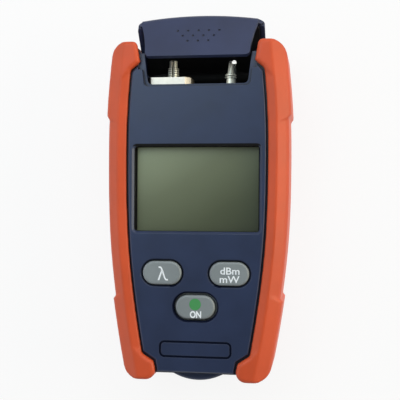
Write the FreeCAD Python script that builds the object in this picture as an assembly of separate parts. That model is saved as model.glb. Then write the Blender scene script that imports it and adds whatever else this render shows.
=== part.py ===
"""Handheld optical power meter: a rubber-sided casing with a hinged port lid.

Frame, in millimetres: the meter lies on its back. +Z points out of the display and +Y points to the
end with the optical ports. The origin is on the back panel's face, midway between the bumpers' ends.
"""
import FreeCAD
import Part
import math
import os

V = FreeCAD.Vector

# ---- casing -----------------------------------------------------------------------------------
HALF_LENGTH = 67.5          # origin to either end of the bumpers
THICKNESS = 33.0            # back panel to front face
FACE_HALF = 27.6            # half width of the front face at its widest
# the side curve: (share of HALF_LENGTH, how far the edge stands in from FACE_HALF)
SIDE_STATIONS = ((-1.17, 11.3), (-0.866, 7.0), (-0.561, 3.65), (-0.178, 0.85), (0.204, 0.0),
                 (0.591, 0.35), (0.836, 1.6), (1.172, 4.4))
WALL = 2.0                  # moulded wall of the two covers
CASE_OFFSET = 5.2           # side wall stands this far outside the face edge
FRONT_LEDGE = 1.8           # the bumper's front lip sits this far below the face
REAR_LEDGE = 2.4            # the bumper's rear lip sits this far above the back panel
SHOULDER_INSET = 1.2        # the shoulders beside the lid end this far inside the bumpers' ends
WALL_INSET = 2.8            # so do the side walls at the bottom end
FACE_INSET = 3.4            # and the raised face at the bottom end
CASE_TOP = HALF_LENGTH - SHOULDER_INSET
CASE_BOTTOM = HALF_LENGTH - WALL_INSET
FACE_BOTTOM = HALF_LENGTH - FACE_INSET
CASE_TOP_ROUND = 6.0
CASE_BOTTOM_ROUND = 5.0
FACE_ROUND = 0.7            # rounded edge of the raised face
PARTING = 16.5              # height of the line between the two covers
TONGUE_HEIGHT = 1.2
TONGUE_WALL = 0.9
FIT_GAP = 0.1               # clearance between pieces that locate each other
HEEL_RADIUS = 21.3          # rounded bulge at the bottom end
HEEL_PROUD = 1.2
HEEL_OUT = HALF_LENGTH + HEEL_PROUD
HEEL_LOW = 4.2
HEEL_HIGH = 25.6

# ---- bumpers ----------------------------------------------------------------------------------
BUMPER_GAP = 0.7            # dark line between the face and a bumper
BUMPER_WAIST = 8.9          # outer side, outside the face edge
BUMPER_RAISED = 10.0        # outer side of the thicker upper and lower stretches
BUMPER_RIDGE = 4.2          # start of the long outer bevel
BUMPER_PROUD = 0.9          # flat top above the face
BUMPER_BEVEL_DEPTH = 3.2
BUMPER_SHOULDER = 0.9       # second, steeper bevel
BUMPER_SHOULDER_DEPTH = 1.7
BUMPER_BACK = 0.8           # rear lip stands clear of the table
BUMPER_BACK_BEVEL = 4.4
BUMPER_INNER_BEVEL = 1.0    # round the hooks
BUMPER_INNER_DROP = 1.2     # the top slopes down towards the face by this much
BUMPER_TOP_ROUND = 7.0
BUMPER_BOTTOM_ROUND = 7.0
BUMPER_TIP_ROUND = 1.9      # inner corner of the upper hooks
BUMPER_FOOT_ROUND = 4.0     # inner corner of the lower hooks
# steps in the outer side, from the bumper's end: at the ridge, at the waist's side and at the raised side
UPPER_STEP_INSETS = (33.7, 30.9, 28.7)
LOWER_STEP_INSETS = (33.9, 31.2, 29.3)
# inner outline of the hooks: x, and distance from the bumper's end
UPPER_HOOK_PLAN = ((26.2, 11.1), (23.0, 8.3), (24.1, 1.8))
LOWER_HOOK_PLAN = ((21.1, 10.2), (16.8, 7.4), (16.1, 4.2))
UPPER_STEP = [HALF_LENGTH - inset for inset in UPPER_STEP_INSETS]
LOWER_STEP = [inset - HALF_LENGTH for inset in LOWER_STEP_INSETS]
UPPER_HOOK = [(x, HALF_LENGTH - inset) for x, inset in UPPER_HOOK_PLAN]
LOWER_HOOK = [(x, inset - HALF_LENGTH) for x, inset in LOWER_HOOK_PLAN]

# ---- lid and its bay --------------------------------------------------------------------------
HINGE_INSET = 11.3
HINGE_Y = HALF_LENGTH - HINGE_INSET
HINGE_Z = 6.0
BARREL_R = 3.0
BARREL_GAP = 0.4            # barrel to the casing around it
LID_OPEN = 24.5             # degrees from shut in the modelled pose
LID_WALL = 1.8
LID_HALF = 26.1             # rear panel
LID_REACH = 15.4            # hinge to where the front and rear panels would meet
LID_CORNER_Y = HINGE_Y + LID_REACH
LID_FOLD_R = 3.0
LID_FLARE_DEPTH = 3.8
LID_FLARE_Z = THICKNESS - LID_FLARE_DEPTH       # below this the lid has its full width
LID_FLARE_ROUND = 2.0       # corner where the rear panel reaches its full width
LID_CROWN_R = 140.0         # the fold is bowed to this radius in plan
CROWN_SWEEP = 1.35          # share by which the swept blank is wider than the lid
LID_FRONT_HALF = 23.5       # half width of the front panel at the fold
LID_FRONT_REACH = 8.2       # hinge to the fold
LID_FLARE_REACH = 11.6      # hinge to where the fold has the rear panel's width
LID_FRONT_TOP = (LID_FRONT_HALF, HINGE_Y + LID_FRONT_REACH)
LID_FLARE_Y = HINGE_Y + LID_FLARE_REACH
LID_GAP = 0.25
SWING_GAP = 0.3             # under the lid's front panel as it turns past the horns
LINER_WALL = 1.0
LINER_INSET = 2.2
LINER_LIP = 0.25            # thin lip of the liner on the hinge barrel
BAY_SIDE_GAP = 0.4
NOTCH_DEPTH = 17.1          # from the bumpers' ends
NOTCH_FLOOR = HALF_LENGTH - NOTCH_DEPTH
NOTCH_LOW_HALF = 20.16
NOTCH_HIGH_HALF = 21.6
NOTCH_ROUND = 2.0
HORN_INSET = 4.4
HORN_FACE_INSET = 8.5
HORN_TOP = HALF_LENGTH - HORN_INSET
HORN_FACE_TOP = HALF_LENGTH - HORN_FACE_INSET   # the raised face ends here beside the notch
REBATE = 1.1                # seat of the lid around the notch
REBATE_DEPTH = 1.9
PIN_R = 1.0
PIN_RUNNING = 0.05
PIN_IN = 4.5                # in the barrel
PIN_OUT = 3.6               # in the shoulder
DIMPLE_R = 0.5
DIMPLE_PITCH = 4.2
DIMPLE_ROW = 2.45
DIMPLE_REACH = 5.2
DIMPLE_TOP_Y = HINGE_Y + DIMPLE_REACH

# ---- connector bay ----------------------------------------------------------------------------
BULKHEAD_INSET = 17.9
BULKHEAD_FACE = HALF_LENGTH - BULKHEAD_INSET    # the fittings stand on this face
BULKHEAD_WALL = 2.2
PORT_X = -11.6              # detector port
SPARE_X = 12.2              # stored adapter
PORT_DROP = 0.8             # axis of the fittings, below the board's top
APRON_WALL = 1.0            # curved cover over the hinge barrel
APRON_CLEAR = 0.5           # between its end and the inside of the shut lid
PLATE_X = (-20.2, -3.6)
PLATE_HEIGHT = 14.0
PLATE_THICK = 4.2
PLATE_CHAMFERS = (0.6, 2.1)     # on the outer and on the inner side
FERRULE_R = 1.25            # bore of the 2.5 mm universal adapter
SLEEVE_R = 2.25
SLEEVE_LENGTH = 4.6
NOSE_R = 1.65
NOSE_LENGTH = 3.0
SPIGOT_R = 2.0
SPIGOT_LENGTH = 3.4
SMALL_BORE_R = 0.65         # bore of the 1.25 mm adapter that is stored beside it
SMALL_SLEEVE_R = 1.85
SMALL_SLEEVE_LENGTH = 6.2
SMALL_RING_R = 2.35
SMALL_RING_WIDTH = 0.45
SMALL_NOSE_R = 1.4
SMALL_TIP_R = 0.9
SMALL_NOSE_LENGTH = 4.4
POST_R = 0.6
POST_TIP = 1.0              # the post stands this far out of the adapter
GROOVE_DEPTH = 0.25
GROOVE_WIDTH = 0.5
CAN_R = 2.7                 # photodiode can
CAN_LENGTH = 3.6
CAN_FLANGE_R = 3.2
CAN_FLANGE = 0.6
LEG_R = 0.25
LEG_LENGTH = 8.0
LEG_PITCH = 1.27
PIPE_X = 14.0               # light guide of the torch
PIPE_RISE = 4.3             # above the fittings' axis
PIPE_R = 0.85
PIPE_LENGTH = 11.0
PIPE_TIP = BULKHEAD_FACE + PIPE_LENGTH
TORCH_R = 2.0
TORCH_LENGTH = 3.0
SCREW_SMALL_R = 0.8
SCREW_SMALL_HEAD = 1.2
SCREW_SMALL_INSET = 2.6     # from the ends of the adapter plate
SCREW_SMALL_SLOT = 0.5

# ---- display ----------------------------------------------------------------------------------
WINDOW_HALF = 25.1
WINDOW_LOW = -0.123 * HALF_LENGTH
WINDOW_HIGH = 0.3793 * HALF_LENGTH
WINDOW_ROUND = 1.2
WINDOW_BEVEL = 0.9
LENS_THICK = 0.8
LENS_OVERLAP = 2.0
LCD_GAP = 0.1
LCD_THICK = 2.0
LCD_OVERLAP = 2.4
HOLDER_RIM = 0.6
HOLDER_LIP = 0.6

# ---- keys -------------------------------------------------------------------------------------
KEY_LENGTH = 15.7
KEY_WIDTH = 9.35
KEY_ROWS = (-0.3674 * HALF_LENGTH, -0.5644 * HALF_LENGTH)
KEY_PLACES = {"lambda_key": (-13.42, KEY_ROWS[0]), "unit_key": (13.42, KEY_ROWS[0]),
              "function_key": (0.0, KEY_ROWS[1])}
KEY_PROUD = 0.5
KEY_DOME = 0.9
KEY_GAPS = {"lambda_key": 0.4, "unit_key": 0.4, "function_key": 0.85}
KEY_HOLE_BEVEL = 0.6
KEY_FLANGE = 1.6
KEY_FLANGE_THICK = 1.3
KEY_STEM_R = 2.5
KEY_TRAVEL = 1.0
POCKET_DEPTH = 2.4          # face thickness over the keypad
SWITCH_SIDE = 6.0
SWITCH_HEIGHT = 1.6
MEMBRANE_THICK = 0.8
MEMBRANE_BUMP = 1.0
MEMBRANE_MARGIN = 2.4

# ---- label panel ------------------------------------------------------------------------------
LABEL_HALF = 14.5
LABEL_SPAN = (9.2, 15.9)    # from the bumpers' ends
LABEL_LOW = LABEL_SPAN[0] - HALF_LENGTH
LABEL_HIGH = LABEL_SPAN[1] - HALF_LENGTH
LABEL_GROOVE = 0.85
LABEL_DEPTH = 0.5
LABEL_ROUND = 2.2

# ---- board and screws -------------------------------------------------------------------------
BOARD_CLEAR = 0.9           # over the battery bay
BOARD_THICK = 1.6
BOARD_INSETS = (6.0, 9.5)   # from the bulkhead, and from the bumpers' ends
BOARD_TOP_Y = BULKHEAD_FACE - BOARD_INSETS[0]
BOARD_BOTTOM_Y = BOARD_INSETS[1] - HALF_LENGTH
BOARD_EDGE = 0.6
CASE_SCREW_PLAN = ((23.5, 26.0), (19.6, 21.5))      # x, and distance from the bumpers' ends
BOARD_SCREW_PLAN = ((24.6, 6.2), (24.4, 6.7))       # x, and distance from the window
CASE_SCREWS = ((CASE_SCREW_PLAN[0][0], HALF_LENGTH - CASE_SCREW_PLAN[0][1]),
               (CASE_SCREW_PLAN[1][0], CASE_SCREW_PLAN[1][1] - HALF_LENGTH))
BOARD_SCREWS = ((BOARD_SCREW_PLAN[0][0], WINDOW_HIGH + BOARD_SCREW_PLAN[0][1]),
                (BOARD_SCREW_PLAN[1][0], WINDOW_LOW - BOARD_SCREW_PLAN[1][1]))
BOSS_R = 2.9
BOARD_BOSS_R = 2.4
SCREW_R = 1.2
HEAD_R = 2.5
HEAD_HEIGHT = 1.8
HEAD_DEPTH = 1.0            # case screw heads sit this far under the back panel
BOARD_SCREW_R = 1.0
BOARD_HEAD_R = 2.0
BOARD_HEAD = 1.2
SLOT_WIDTH = 0.7
SCREW_BITE = 8.0            # case screw in its boss
PILOT_DEPTH = 12.0
BOARD_SCREW_BITE = 4.0
BOARD_PILOT_DEPTH = 6.0
BOSS_JOINT = 8.0            # height where the bosses of the two covers meet

# ---- battery bay ------------------------------------------------------------------------------
CELL_R = 7.1
CELL_LENGTH = 49.5
NUB_R = 2.7
NUB_LENGTH = 1.0
CELL_PITCH = 14.9
CELL_GAP = 0.35
SPRING_LENGTH = 3.2
SPRING_SPAN = 8.0
SPRING_WIDTH = 5.0
SPRING_FOOT = 1.2
CONTACT_THICK = 0.4
BAY_INSET = 8.0             # from the bumpers' ends to the low contacts
BAY_WALL = 1.4
DOOR_THICK = 2.0
DOOR_HALF = 14.9
DOOR_TONGUE = 0.7
DOOR_TONGUE_THICK = 1.0
DOOR_GAP = 0.2
DOOR_LAP = 1.6
GRIP_RIBS = 5
GRIP_PITCH = 2.0
GRIP_DEPTH = 0.5
GRIP_HALF = 8.0             # half the ribs' length, and how far they start from the inner end

# ---- worked out from the above ----------------------------------------------------------------
FAR = 2.0 * HALF_LENGTH
LEDGE_Z = THICKNESS - FRONT_LEDGE
CAVITY_TOP = LEDGE_Z - WALL + 0.2
CAVITY_LOW = REAR_LEDGE + WALL
POCKET_TOP = THICKNESS - POCKET_DEPTH
BAY_HALF = LID_HALF + BAY_SIDE_GAP
REAR_WALL_END = HINGE_Y - BARREL_R - BARREL_GAP
BUMPER_TOP = THICKNESS + BUMPER_PROUD
LENS_TOP = CAVITY_TOP
LCD_TOP = LENS_TOP - LENS_THICK - LCD_GAP
CELL_Z = DOOR_THICK + CELL_GAP + CELL_R
BAY_LOW_Y = BAY_INSET - HALF_LENGTH
BAY_TOP_Y = BAY_LOW_Y + CELL_LENGTH + NUB_LENGTH + SPRING_LENGTH + 2.0 * CONTACT_THICK
DOOR_TOP_Y = BAY_TOP_Y + DOOR_LAP
BAY_HALF_X = CELL_PITCH / 2.0 + CELL_R + CELL_GAP
BAY_ROOF = CELL_Z + CELL_R + CELL_GAP
BOARD_LOW = BAY_ROOF + BAY_WALL + BOARD_CLEAR
BOARD_TOP = BOARD_LOW + BOARD_THICK
PORT_Z = BOARD_TOP - PORT_DROP
PIPE_Z = PORT_Z + PIPE_RISE


# ---- helpers ----------------------------------------------------------------------------------
def box(x0, x1, y0, y1, z0, z1):
    """Block between two corners."""
    return Part.makeBox(x1 - x0, y1 - y0, z1 - z0, V(x0, y0, z0))


def post(x, y, r, z0, z1):
    """Cylinder along Z."""
    return Part.makeCylinder(r, z1 - z0, V(x, y, z0), V(0, 0, 1))


def rod(x, z, r, y0, y1):
    """Cylinder along Y."""
    return Part.makeCylinder(r, y1 - y0, V(x, y0, z), V(0, 1, 0))


def upright_edges(shape, keep=lambda x, y: True):
    """Edges of a shape that run along Z and whose place passes a test."""
    found = []
    for edge in shape.Edges:
        if len(edge.Vertexes) != 2:
            continue
        a = edge.Vertexes[0].Point
        b = edge.Vertexes[1].Point
        if abs(a.x - b.x) < 1e-6 and abs(a.y - b.y) < 1e-6 and keep(a.x, a.y):
            found.append(edge)
    return found


def level_edges(shape, z, keep=lambda middle: True):
    """Edges of a shape that lie at one height and whose middle passes a test."""
    found = []
    for edge in shape.Edges:
        low = edge.BoundBox
        if abs(low.ZMin - z) < 1e-4 and abs(low.ZMax - z) < 1e-4 and keep(edge.BoundBox.Center):
            found.append(edge)
    return found


def round_block(x0, x1, y0, y1, z0, z1, r):
    """Block with its four upright edges rounded."""
    block = box(x0, x1, y0, y1, z0, z1)
    return block.makeFillet(r, upright_edges(block))


def prism(points, z0, z1):
    """Upright prism over a polygon in plan."""
    corners = [V(x, y, z0) for x, y in points]
    face = Part.Face(Part.makePolygon(corners + corners[:1]))
    return face.extrude(V(0, 0, z1 - z0))


def mirror(shape):
    """Mirror image across X = 0."""
    return shape.mirror(V(0, 0, 0), V(1, 0, 0))


def stadium(x, y, length, width, z0, z1):
    """Oval key shape: two half discs joined by a block."""
    r = width / 2.0
    reach = length / 2.0 - r
    ends = [post(x + side * reach, y, r, z0, z1) for side in (-1, 1)]
    return box(x - reach, x + reach, y - r, y + r, z0, z1).multiFuse(ends).removeSplitter()


def side_wire(offset, z):
    """Closed plan outline of the casing's two side curves, moved out by offset."""
    right = [V(FACE_HALF - inset + offset, share * HALF_LENGTH, z) for share, inset in SIDE_STATIONS]
    left = [V(-p.x, p.y, z) for p in right]
    curves = []
    for points in (right, left):
        spline = Part.BSplineCurve()
        spline.interpolate(points)
        curves.append(spline.toShape())
    top = Part.makeLine(right[-1], left[-1])
    bottom = Part.makeLine(left[0], right[0])
    return Part.Wire(Part.__sortEdges__([curves[0], top, curves[1], bottom]))


def side_prism(offset, z0, z1):
    """Upright solid within the side curves moved out by offset, longer than the casing."""
    return Part.Face(side_wire(offset, z0)).extrude(V(0, 0, z1 - z0))


def side_taper(offset0, z0, offset1, z1):
    """Solid whose side curves lean from one offset to another."""
    return Part.makeLoft([side_wire(offset0, z0), side_wire(offset1, z1)], True, True)


def plan_block(offset, y0, y1, z0, z1, low_round=0.0, high_round=0.0):
    """Side-curved block between two ends, with rounded plan corners."""
    block = side_prism(offset, z0, z1).common(box(-FAR, FAR, y0, y1, z0, z1))
    for y, r in ((y0, low_round), (y1, high_round)):
        if r > 0:
            corners = upright_edges(block, lambda px, py: abs(py - y) < 1e-4)
            block = block.makeFillet(r, corners)
    return block


def turn_lid(shape, degrees):
    """Turn a piece of the lid open about the hinge."""
    shape.rotate(V(0, HINGE_Y, HINGE_Z), V(1, 0, 0), -degrees)
    return shape


# ---- casing -----------------------------------------------------------------------------------
def heel(inset, z0, z1):
    """Rounded bulge at the bottom end, as a disc that is cut off level with the end wall."""
    disc = post(0, HEEL_RADIUS - HEEL_OUT, HEEL_RADIUS - inset, z0, z1)
    return disc.common(box(-FAR, FAR, -FAR, WALL - CASE_BOTTOM, z0, z1))


def hook_clearance(z0, z1):
    """What a lower bumper hook clears in the front face and the back panel, on the right side."""
    low = [(x - BUMPER_GAP, y + BUMPER_GAP * share) for (x, y), share in zip(LOWER_HOOK, (1.0, 1.0, 0.0))]
    slope = (low[0][1] - low[1][1]) / (low[0][0] - low[1][0])
    outer = FACE_HALF + CASE_OFFSET
    return prism([low[2], low[1], (outer, low[1][1] + slope * (outer - low[1][0])), (outer, -FAR),
                  (low[2][0], -FAR)], z0, z1)


def face_block(offset, z0, z1):
    """Raised front face, with the corners cut back for the bumper hooks."""
    block = plan_block(offset, -FACE_BOTTOM, HORN_FACE_TOP, z0, z1)
    tip = (UPPER_HOOK[1][0] - BUMPER_GAP, UPPER_HOOK[1][1])
    root = (UPPER_HOOK[0][0] - BUMPER_GAP, UPPER_HOOK[0][1] - BUMPER_GAP)
    slope = (root[1] - tip[1]) / (root[0] - tip[0])
    outer = FACE_HALF + CASE_OFFSET
    upper = [tip, (outer, tip[1] + slope * (outer - tip[0])), (outer, CASE_TOP), (tip[0], CASE_TOP)]
    for cut in (prism(upper, z0, z1), hook_clearance(z0, z1)):
        block = block.cut(cut).cut(mirror(cut))
    return block


def rounded_face():
    """The raised face with its rounded rim."""
    block = face_block(0, LEDGE_Z, THICKNESS)
    return block.makeFillet(FACE_ROUND, level_edges(block, THICKNESS))


def back_block(z0, z1):
    """Flat back panel that the meter rests on."""
    block = plan_block(0, -FACE_BOTTOM, REAR_WALL_END, z0, z1)
    corner = hook_clearance(z0, z1)
    return block.cut(corner).cut(mirror(corner))


def lid_bay():
    """Open space that the lid swings through, between the two shoulders."""
    return box(-BAY_HALF, BAY_HALF, REAR_WALL_END, FAR, -1.0, CAVITY_TOP)


def notch(margin, z0, z1):
    """Tapered opening in the front face over the ports, widened by a margin."""
    rise = (NOTCH_HIGH_HALF - NOTCH_LOW_HALF) / (HORN_TOP - NOTCH_FLOOR)
    low_y = NOTCH_FLOOR - margin
    reach = FAR - low_y
    low = NOTCH_LOW_HALF + margin
    points = [(-low, low_y), (low, low_y), (low + rise * reach, FAR), (-low - rise * reach, FAR)]
    opening = prism(points, z0, z1)
    corners = upright_edges(opening, lambda x, y: abs(y - low_y) < 1e-4)
    return opening.makeFillet(NOTCH_ROUND, corners)


def swing_relief():
    """What the lid's side edges sweep beside the notch: all that lies outside a drum on the hinge."""
    drum = Part.makeCylinder(THICKNESS - LID_WALL - HINGE_Z - SWING_GAP, FAR, V(-FAR / 2.0, HINGE_Y, HINGE_Z),
                             V(1, 0, 0))
    half = LID_FRONT_TOP[0] + LID_GAP
    return box(-half, half, HINGE_Y, HORN_TOP, PARTING, THICKNESS).cut(drum)


def interior(inset):
    """Hollow inside the covers, drawn in by an inset from the inner wall faces."""
    hollow = plan_block(CASE_OFFSET - WALL - inset, -CASE_BOTTOM + WALL + inset, BULKHEAD_FACE,
                        CAVITY_LOW, CAVITY_TOP, CASE_BOTTOM_ROUND - WALL, 0.0)
    return hollow


def screw_places(places):
    """Each screw position and its mirror image."""
    return [(side * x, y) for x, y in places for side in (-1, 1)]


def tongue(offset, z1):
    """Ring inside the parting line that locates the covers."""
    ring = plan_block(CASE_OFFSET - WALL + offset, -CASE_BOTTOM + WALL - offset, BULKHEAD_FACE - WALL,
                      PARTING, z1, CASE_BOTTOM_ROUND - WALL + offset, 0.0)
    return ring.cut(interior(0)).cut(box(-FAR, FAR, BULKHEAD_FACE - 2.0 * WALL, FAR, 0.0, THICKNESS))


def front_cover():
    """Upper shell: face, window, key holes, notch and the bosses inside."""
    body = plan_block(CASE_OFFSET, -CASE_BOTTOM, CASE_TOP, PARTING, LEDGE_Z,
                      CASE_BOTTOM_ROUND, CASE_TOP_ROUND)
    bulge = heel(0, PARTING, HEEL_HIGH)
    bulge = bulge.makeFillet(1.2, [e for e in level_edges(bulge, HEEL_HIGH)
                                   if isinstance(e.Curve, Part.Circle)])
    body = body.multiFuse([bulge, rounded_face()])
    body = body.cut(box(-BAY_HALF, BAY_HALF, BULKHEAD_FACE, FAR, 0.0, CAVITY_TOP))
    body = body.cut(box(-BAY_HALF, BAY_HALF, HORN_TOP, FAR, 0.0, THICKNESS))
    body = body.cut(interior(0)).cut(tongue(TONGUE_WALL + FIT_GAP, PARTING + TONGUE_HEIGHT + FIT_GAP))
    pocket_low = min(y for _, y in KEY_PLACES.values()) - KEY_WIDTH / 2.0 - MEMBRANE_MARGIN
    pocket_high = WINDOW_LOW - LENS_OVERLAP - WALL
    pocket = plan_block(-WALL, pocket_low, pocket_high, CAVITY_TOP, POCKET_TOP)
    upper = plan_block(-WALL, WINDOW_HIGH + LENS_OVERLAP + WALL, NOTCH_FLOOR - REBATE - WALL,
                       CAVITY_TOP, POCKET_TOP)
    body = body.cut(pocket).cut(upper)
    for x, y in screw_places(CASE_SCREWS):
        body = body.fuse(post(x, y, BOSS_R, BOSS_JOINT, POCKET_TOP))
    for x, y in screw_places(BOARD_SCREWS):
        body = body.fuse(post(x, y, BOARD_BOSS_R, BOARD_TOP, CAVITY_TOP))
    pilots = [post(x, y, SCREW_R, BOSS_JOINT, BOSS_JOINT + PILOT_DEPTH) for x, y in screw_places(CASE_SCREWS)]
    pilots += [post(x, y, BOARD_SCREW_R, BOARD_TOP, BOARD_TOP + BOARD_PILOT_DEPTH)
               for x, y in screw_places(BOARD_SCREWS)]
    window = round_block(-WINDOW_HALF, WINDOW_HALF, WINDOW_LOW, WINDOW_HIGH, CAVITY_TOP, THICKNESS,
                         WINDOW_ROUND)
    holes = [key_hole(name, CAVITY_TOP, THICKNESS) for name in KEY_PLACES]
    seat = notch(REBATE, THICKNESS - REBATE_DEPTH, THICKNESS + 1.0)
    opening = notch(0, CAVITY_TOP - 1.0, THICKNESS)
    body = body.cut(pilots + [window, label_groove(), seat, opening, swing_relief()] + holes)
    body = body.makeChamfer(WINDOW_BEVEL, window_rim(body))
    body = body.makeChamfer(KEY_HOLE_BEVEL, key_rims(body))
    return body.removeSplitter()


def label_groove():
    """Ring pressed into the face round the label panel."""
    def block(inset):
        return round_block(inset - LABEL_HALF, LABEL_HALF - inset, LABEL_LOW + inset, LABEL_HIGH - inset,
                           THICKNESS - LABEL_DEPTH, THICKNESS + 1.0, LABEL_ROUND - inset)
    return block(0.0).cut(block(LABEL_GROOVE))


def key_hole(name, z0, z1):
    """Opening in the face for one key."""
    x, y = KEY_PLACES[name]
    gap = 2.0 * KEY_GAPS[name]
    return stadium(x, y, KEY_LENGTH + gap, KEY_WIDTH + gap, z0, z1)


def window_rim(body):
    """Top edges of the display opening."""
    def on_rim(middle):
        inside_x = abs(middle.x) < WINDOW_HALF + 0.01
        return inside_x and WINDOW_LOW - 0.01 < middle.y < WINDOW_HIGH + 0.01
    return level_edges(body, THICKNESS, on_rim)


def key_rims(body):
    """Top edges of the key holes."""
    def on_rim(middle):
        for name, (x, y) in KEY_PLACES.items():
            reach = 2.0 * KEY_GAPS[name]
            near_x = abs(middle.x - x) < KEY_LENGTH / 2.0 + reach
            if near_x and abs(middle.y - y) < KEY_WIDTH / 2.0 + reach:
                return True
        return False
    return level_edges(body, THICKNESS, on_rim)


def rear_cover():
    """Lower shell: back panel, shoulders for the hinge, battery bay and screw bosses."""
    body = plan_block(CASE_OFFSET, -CASE_BOTTOM, CASE_TOP, REAR_LEDGE, PARTING,
                      CASE_BOTTOM_ROUND, CASE_TOP_ROUND)
    bulge = heel(0, HEEL_LOW, PARTING)
    bulge = bulge.makeFillet(1.2, [e for e in level_edges(bulge, HEEL_LOW)
                                   if isinstance(e.Curve, Part.Circle)])
    body = body.multiFuse([bulge, back_block(0, REAR_LEDGE)])
    body = body.removeSplitter().cut(lid_bay()).cut(interior(0))
    body = body.cut(box(-BAY_HALF, BAY_HALF, BULKHEAD_FACE, FAR, CAVITY_LOW, THICKNESS))
    body = body.fuse(tongue(TONGUE_WALL, PARTING + TONGUE_HEIGHT))
    outer = box(-BAY_HALF_X - BAY_WALL, BAY_HALF_X + BAY_WALL, BAY_LOW_Y - BAY_WALL, BAY_TOP_Y + BAY_WALL,
                REAR_LEDGE, BAY_ROOF + BAY_WALL)
    for x, y in screw_places(CASE_SCREWS):
        outer = outer.fuse(post(x, y, BOSS_R, REAR_LEDGE, BOSS_JOINT))
    inner = box(-BAY_HALF_X, BAY_HALF_X, BAY_LOW_Y, BAY_TOP_Y, -1.0, BAY_ROOF)
    body = body.fuse(outer.common(side_prism(CASE_OFFSET - WALL / 2.0, 0.0, THICKNESS))).cut(inner)
    body = body.cut(door_slot())
    holes = []
    for x, y in screw_places(CASE_SCREWS):
        holes.append(post(x, y, HEAD_R + FIT_GAP, -1.0, HEAD_DEPTH + HEAD_HEIGHT))
        holes.append(post(x, y, SCREW_R + FIT_GAP, 0.0, BOSS_JOINT))
    for side in (-1, 1):
        holes.append(Part.makeCylinder(PIN_R, PIN_OUT, V(side * BAY_HALF, HINGE_Y, HINGE_Z), V(side, 0, 0)))
    return body.cut(holes)


def door_slot():
    """Opening and side grooves that the battery door slides in."""
    mouth = box(-DOOR_HALF - DOOR_GAP, DOOR_HALF + DOOR_GAP, -FAR, DOOR_TOP_Y + DOOR_GAP,
                -1.0, DOOR_THICK + FIT_GAP)
    reach = DOOR_HALF + DOOR_TONGUE + DOOR_GAP
    groove = box(-reach, reach, -FAR, DOOR_TOP_Y + DOOR_GAP,
                 DOOR_THICK - DOOR_TONGUE_THICK - FIT_GAP, DOOR_THICK + FIT_GAP)
    return mouth.fuse(groove)


def battery_door():
    """Sliding door over the two cells, with grip ribs near its inner end."""
    body = box(-DOOR_HALF, DOOR_HALF, -FACE_BOTTOM, DOOR_TOP_Y, 0.0, DOOR_THICK)
    reach = DOOR_HALF + DOOR_TONGUE
    body = body.fuse(box(-reach, reach, -FACE_BOTTOM, DOOR_TOP_Y, DOOR_THICK - DOOR_TONGUE_THICK,
                         DOOR_THICK))
    grooves = []
    for i in range(GRIP_RIBS):
        y = DOOR_TOP_Y - GRIP_HALF - i * GRIP_PITCH
        grooves.append(box(-GRIP_HALF, GRIP_HALF, y, y + GRIP_PITCH / 2.0, -1.0, GRIP_DEPTH))
    return body.cut(grooves).removeSplitter()


# ---- bumpers ----------------------------------------------------------------------------------
def bumper_roof(side):
    """Bevelled outer form over the whole length, with the sides out at one offset."""
    bevel_z = BUMPER_TOP - BUMPER_BEVEL_DEPTH
    side_z = bevel_z - BUMPER_SHOULDER_DEPTH
    back_z = BUMPER_BACK + BUMPER_BACK_BEVEL
    stack = [side_taper(side - BUMPER_BACK_BEVEL, BUMPER_BACK, side, back_z),
             side_prism(side, back_z, side_z),
             side_taper(side, side_z, side - BUMPER_SHOULDER, bevel_z),
             side_taper(side - BUMPER_SHOULDER, bevel_z, BUMPER_RIDGE, BUMPER_TOP)]
    return stack[0].multiFuse(stack[1:])


def step_region(step, far_y):
    """Plan area beyond a slanted step, from the ridge outwards, on the right side."""
    ridge = FACE_HALF + BUMPER_RIDGE - 2.0
    waist = FACE_HALF + BUMPER_WAIST - 0.5
    raised = FACE_HALF + BUMPER_RAISED + 0.5
    points = [(0.0, step[0]), (ridge, step[0]), (waist, step[1]), (raised, step[2]), (FAR, step[2]),
              (FAR, far_y), (0.0, far_y)]
    return prism(points, 0.0, THICKNESS + 5.0)


def between_hooks():
    """Plan area between the two hooks and inside them, out to any distance, on the right side."""
    def beyond(tip, root):
        slope = (root[1] - tip[1]) / (root[0] - tip[0])
        x = FACE_HALF + BUMPER_RAISED
        return (x, tip[1] + slope * (x - tip[0]))
    lean = (UPPER_HOOK[2][0] - UPPER_HOOK[1][0]) / (UPPER_HOOK[2][1] - UPPER_HOOK[1][1])
    points = [(-1.0, -FAR), (LOWER_HOOK[2][0], -FAR), LOWER_HOOK[2], LOWER_HOOK[1],
              beyond(LOWER_HOOK[1], LOWER_HOOK[0]), beyond(UPPER_HOOK[1], UPPER_HOOK[0]),
              UPPER_HOOK[1], (UPPER_HOOK[1][0] + lean * (FAR - UPPER_HOOK[1][1]), FAR), (-1.0, FAR)]
    return prism(points, 0.0, THICKNESS + 5.0)


def inner_slope():
    """What is taken off the bumper's top so that it falls from its ridge towards the face."""
    rise = BUMPER_PROUD
    widen = (BUMPER_RIDGE - BUMPER_GAP) / BUMPER_INNER_DROP
    low = BUMPER_TOP - BUMPER_INNER_DROP
    return side_taper(BUMPER_GAP, low, BUMPER_RIDGE + widen * rise, BUMPER_TOP + rise)


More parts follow.
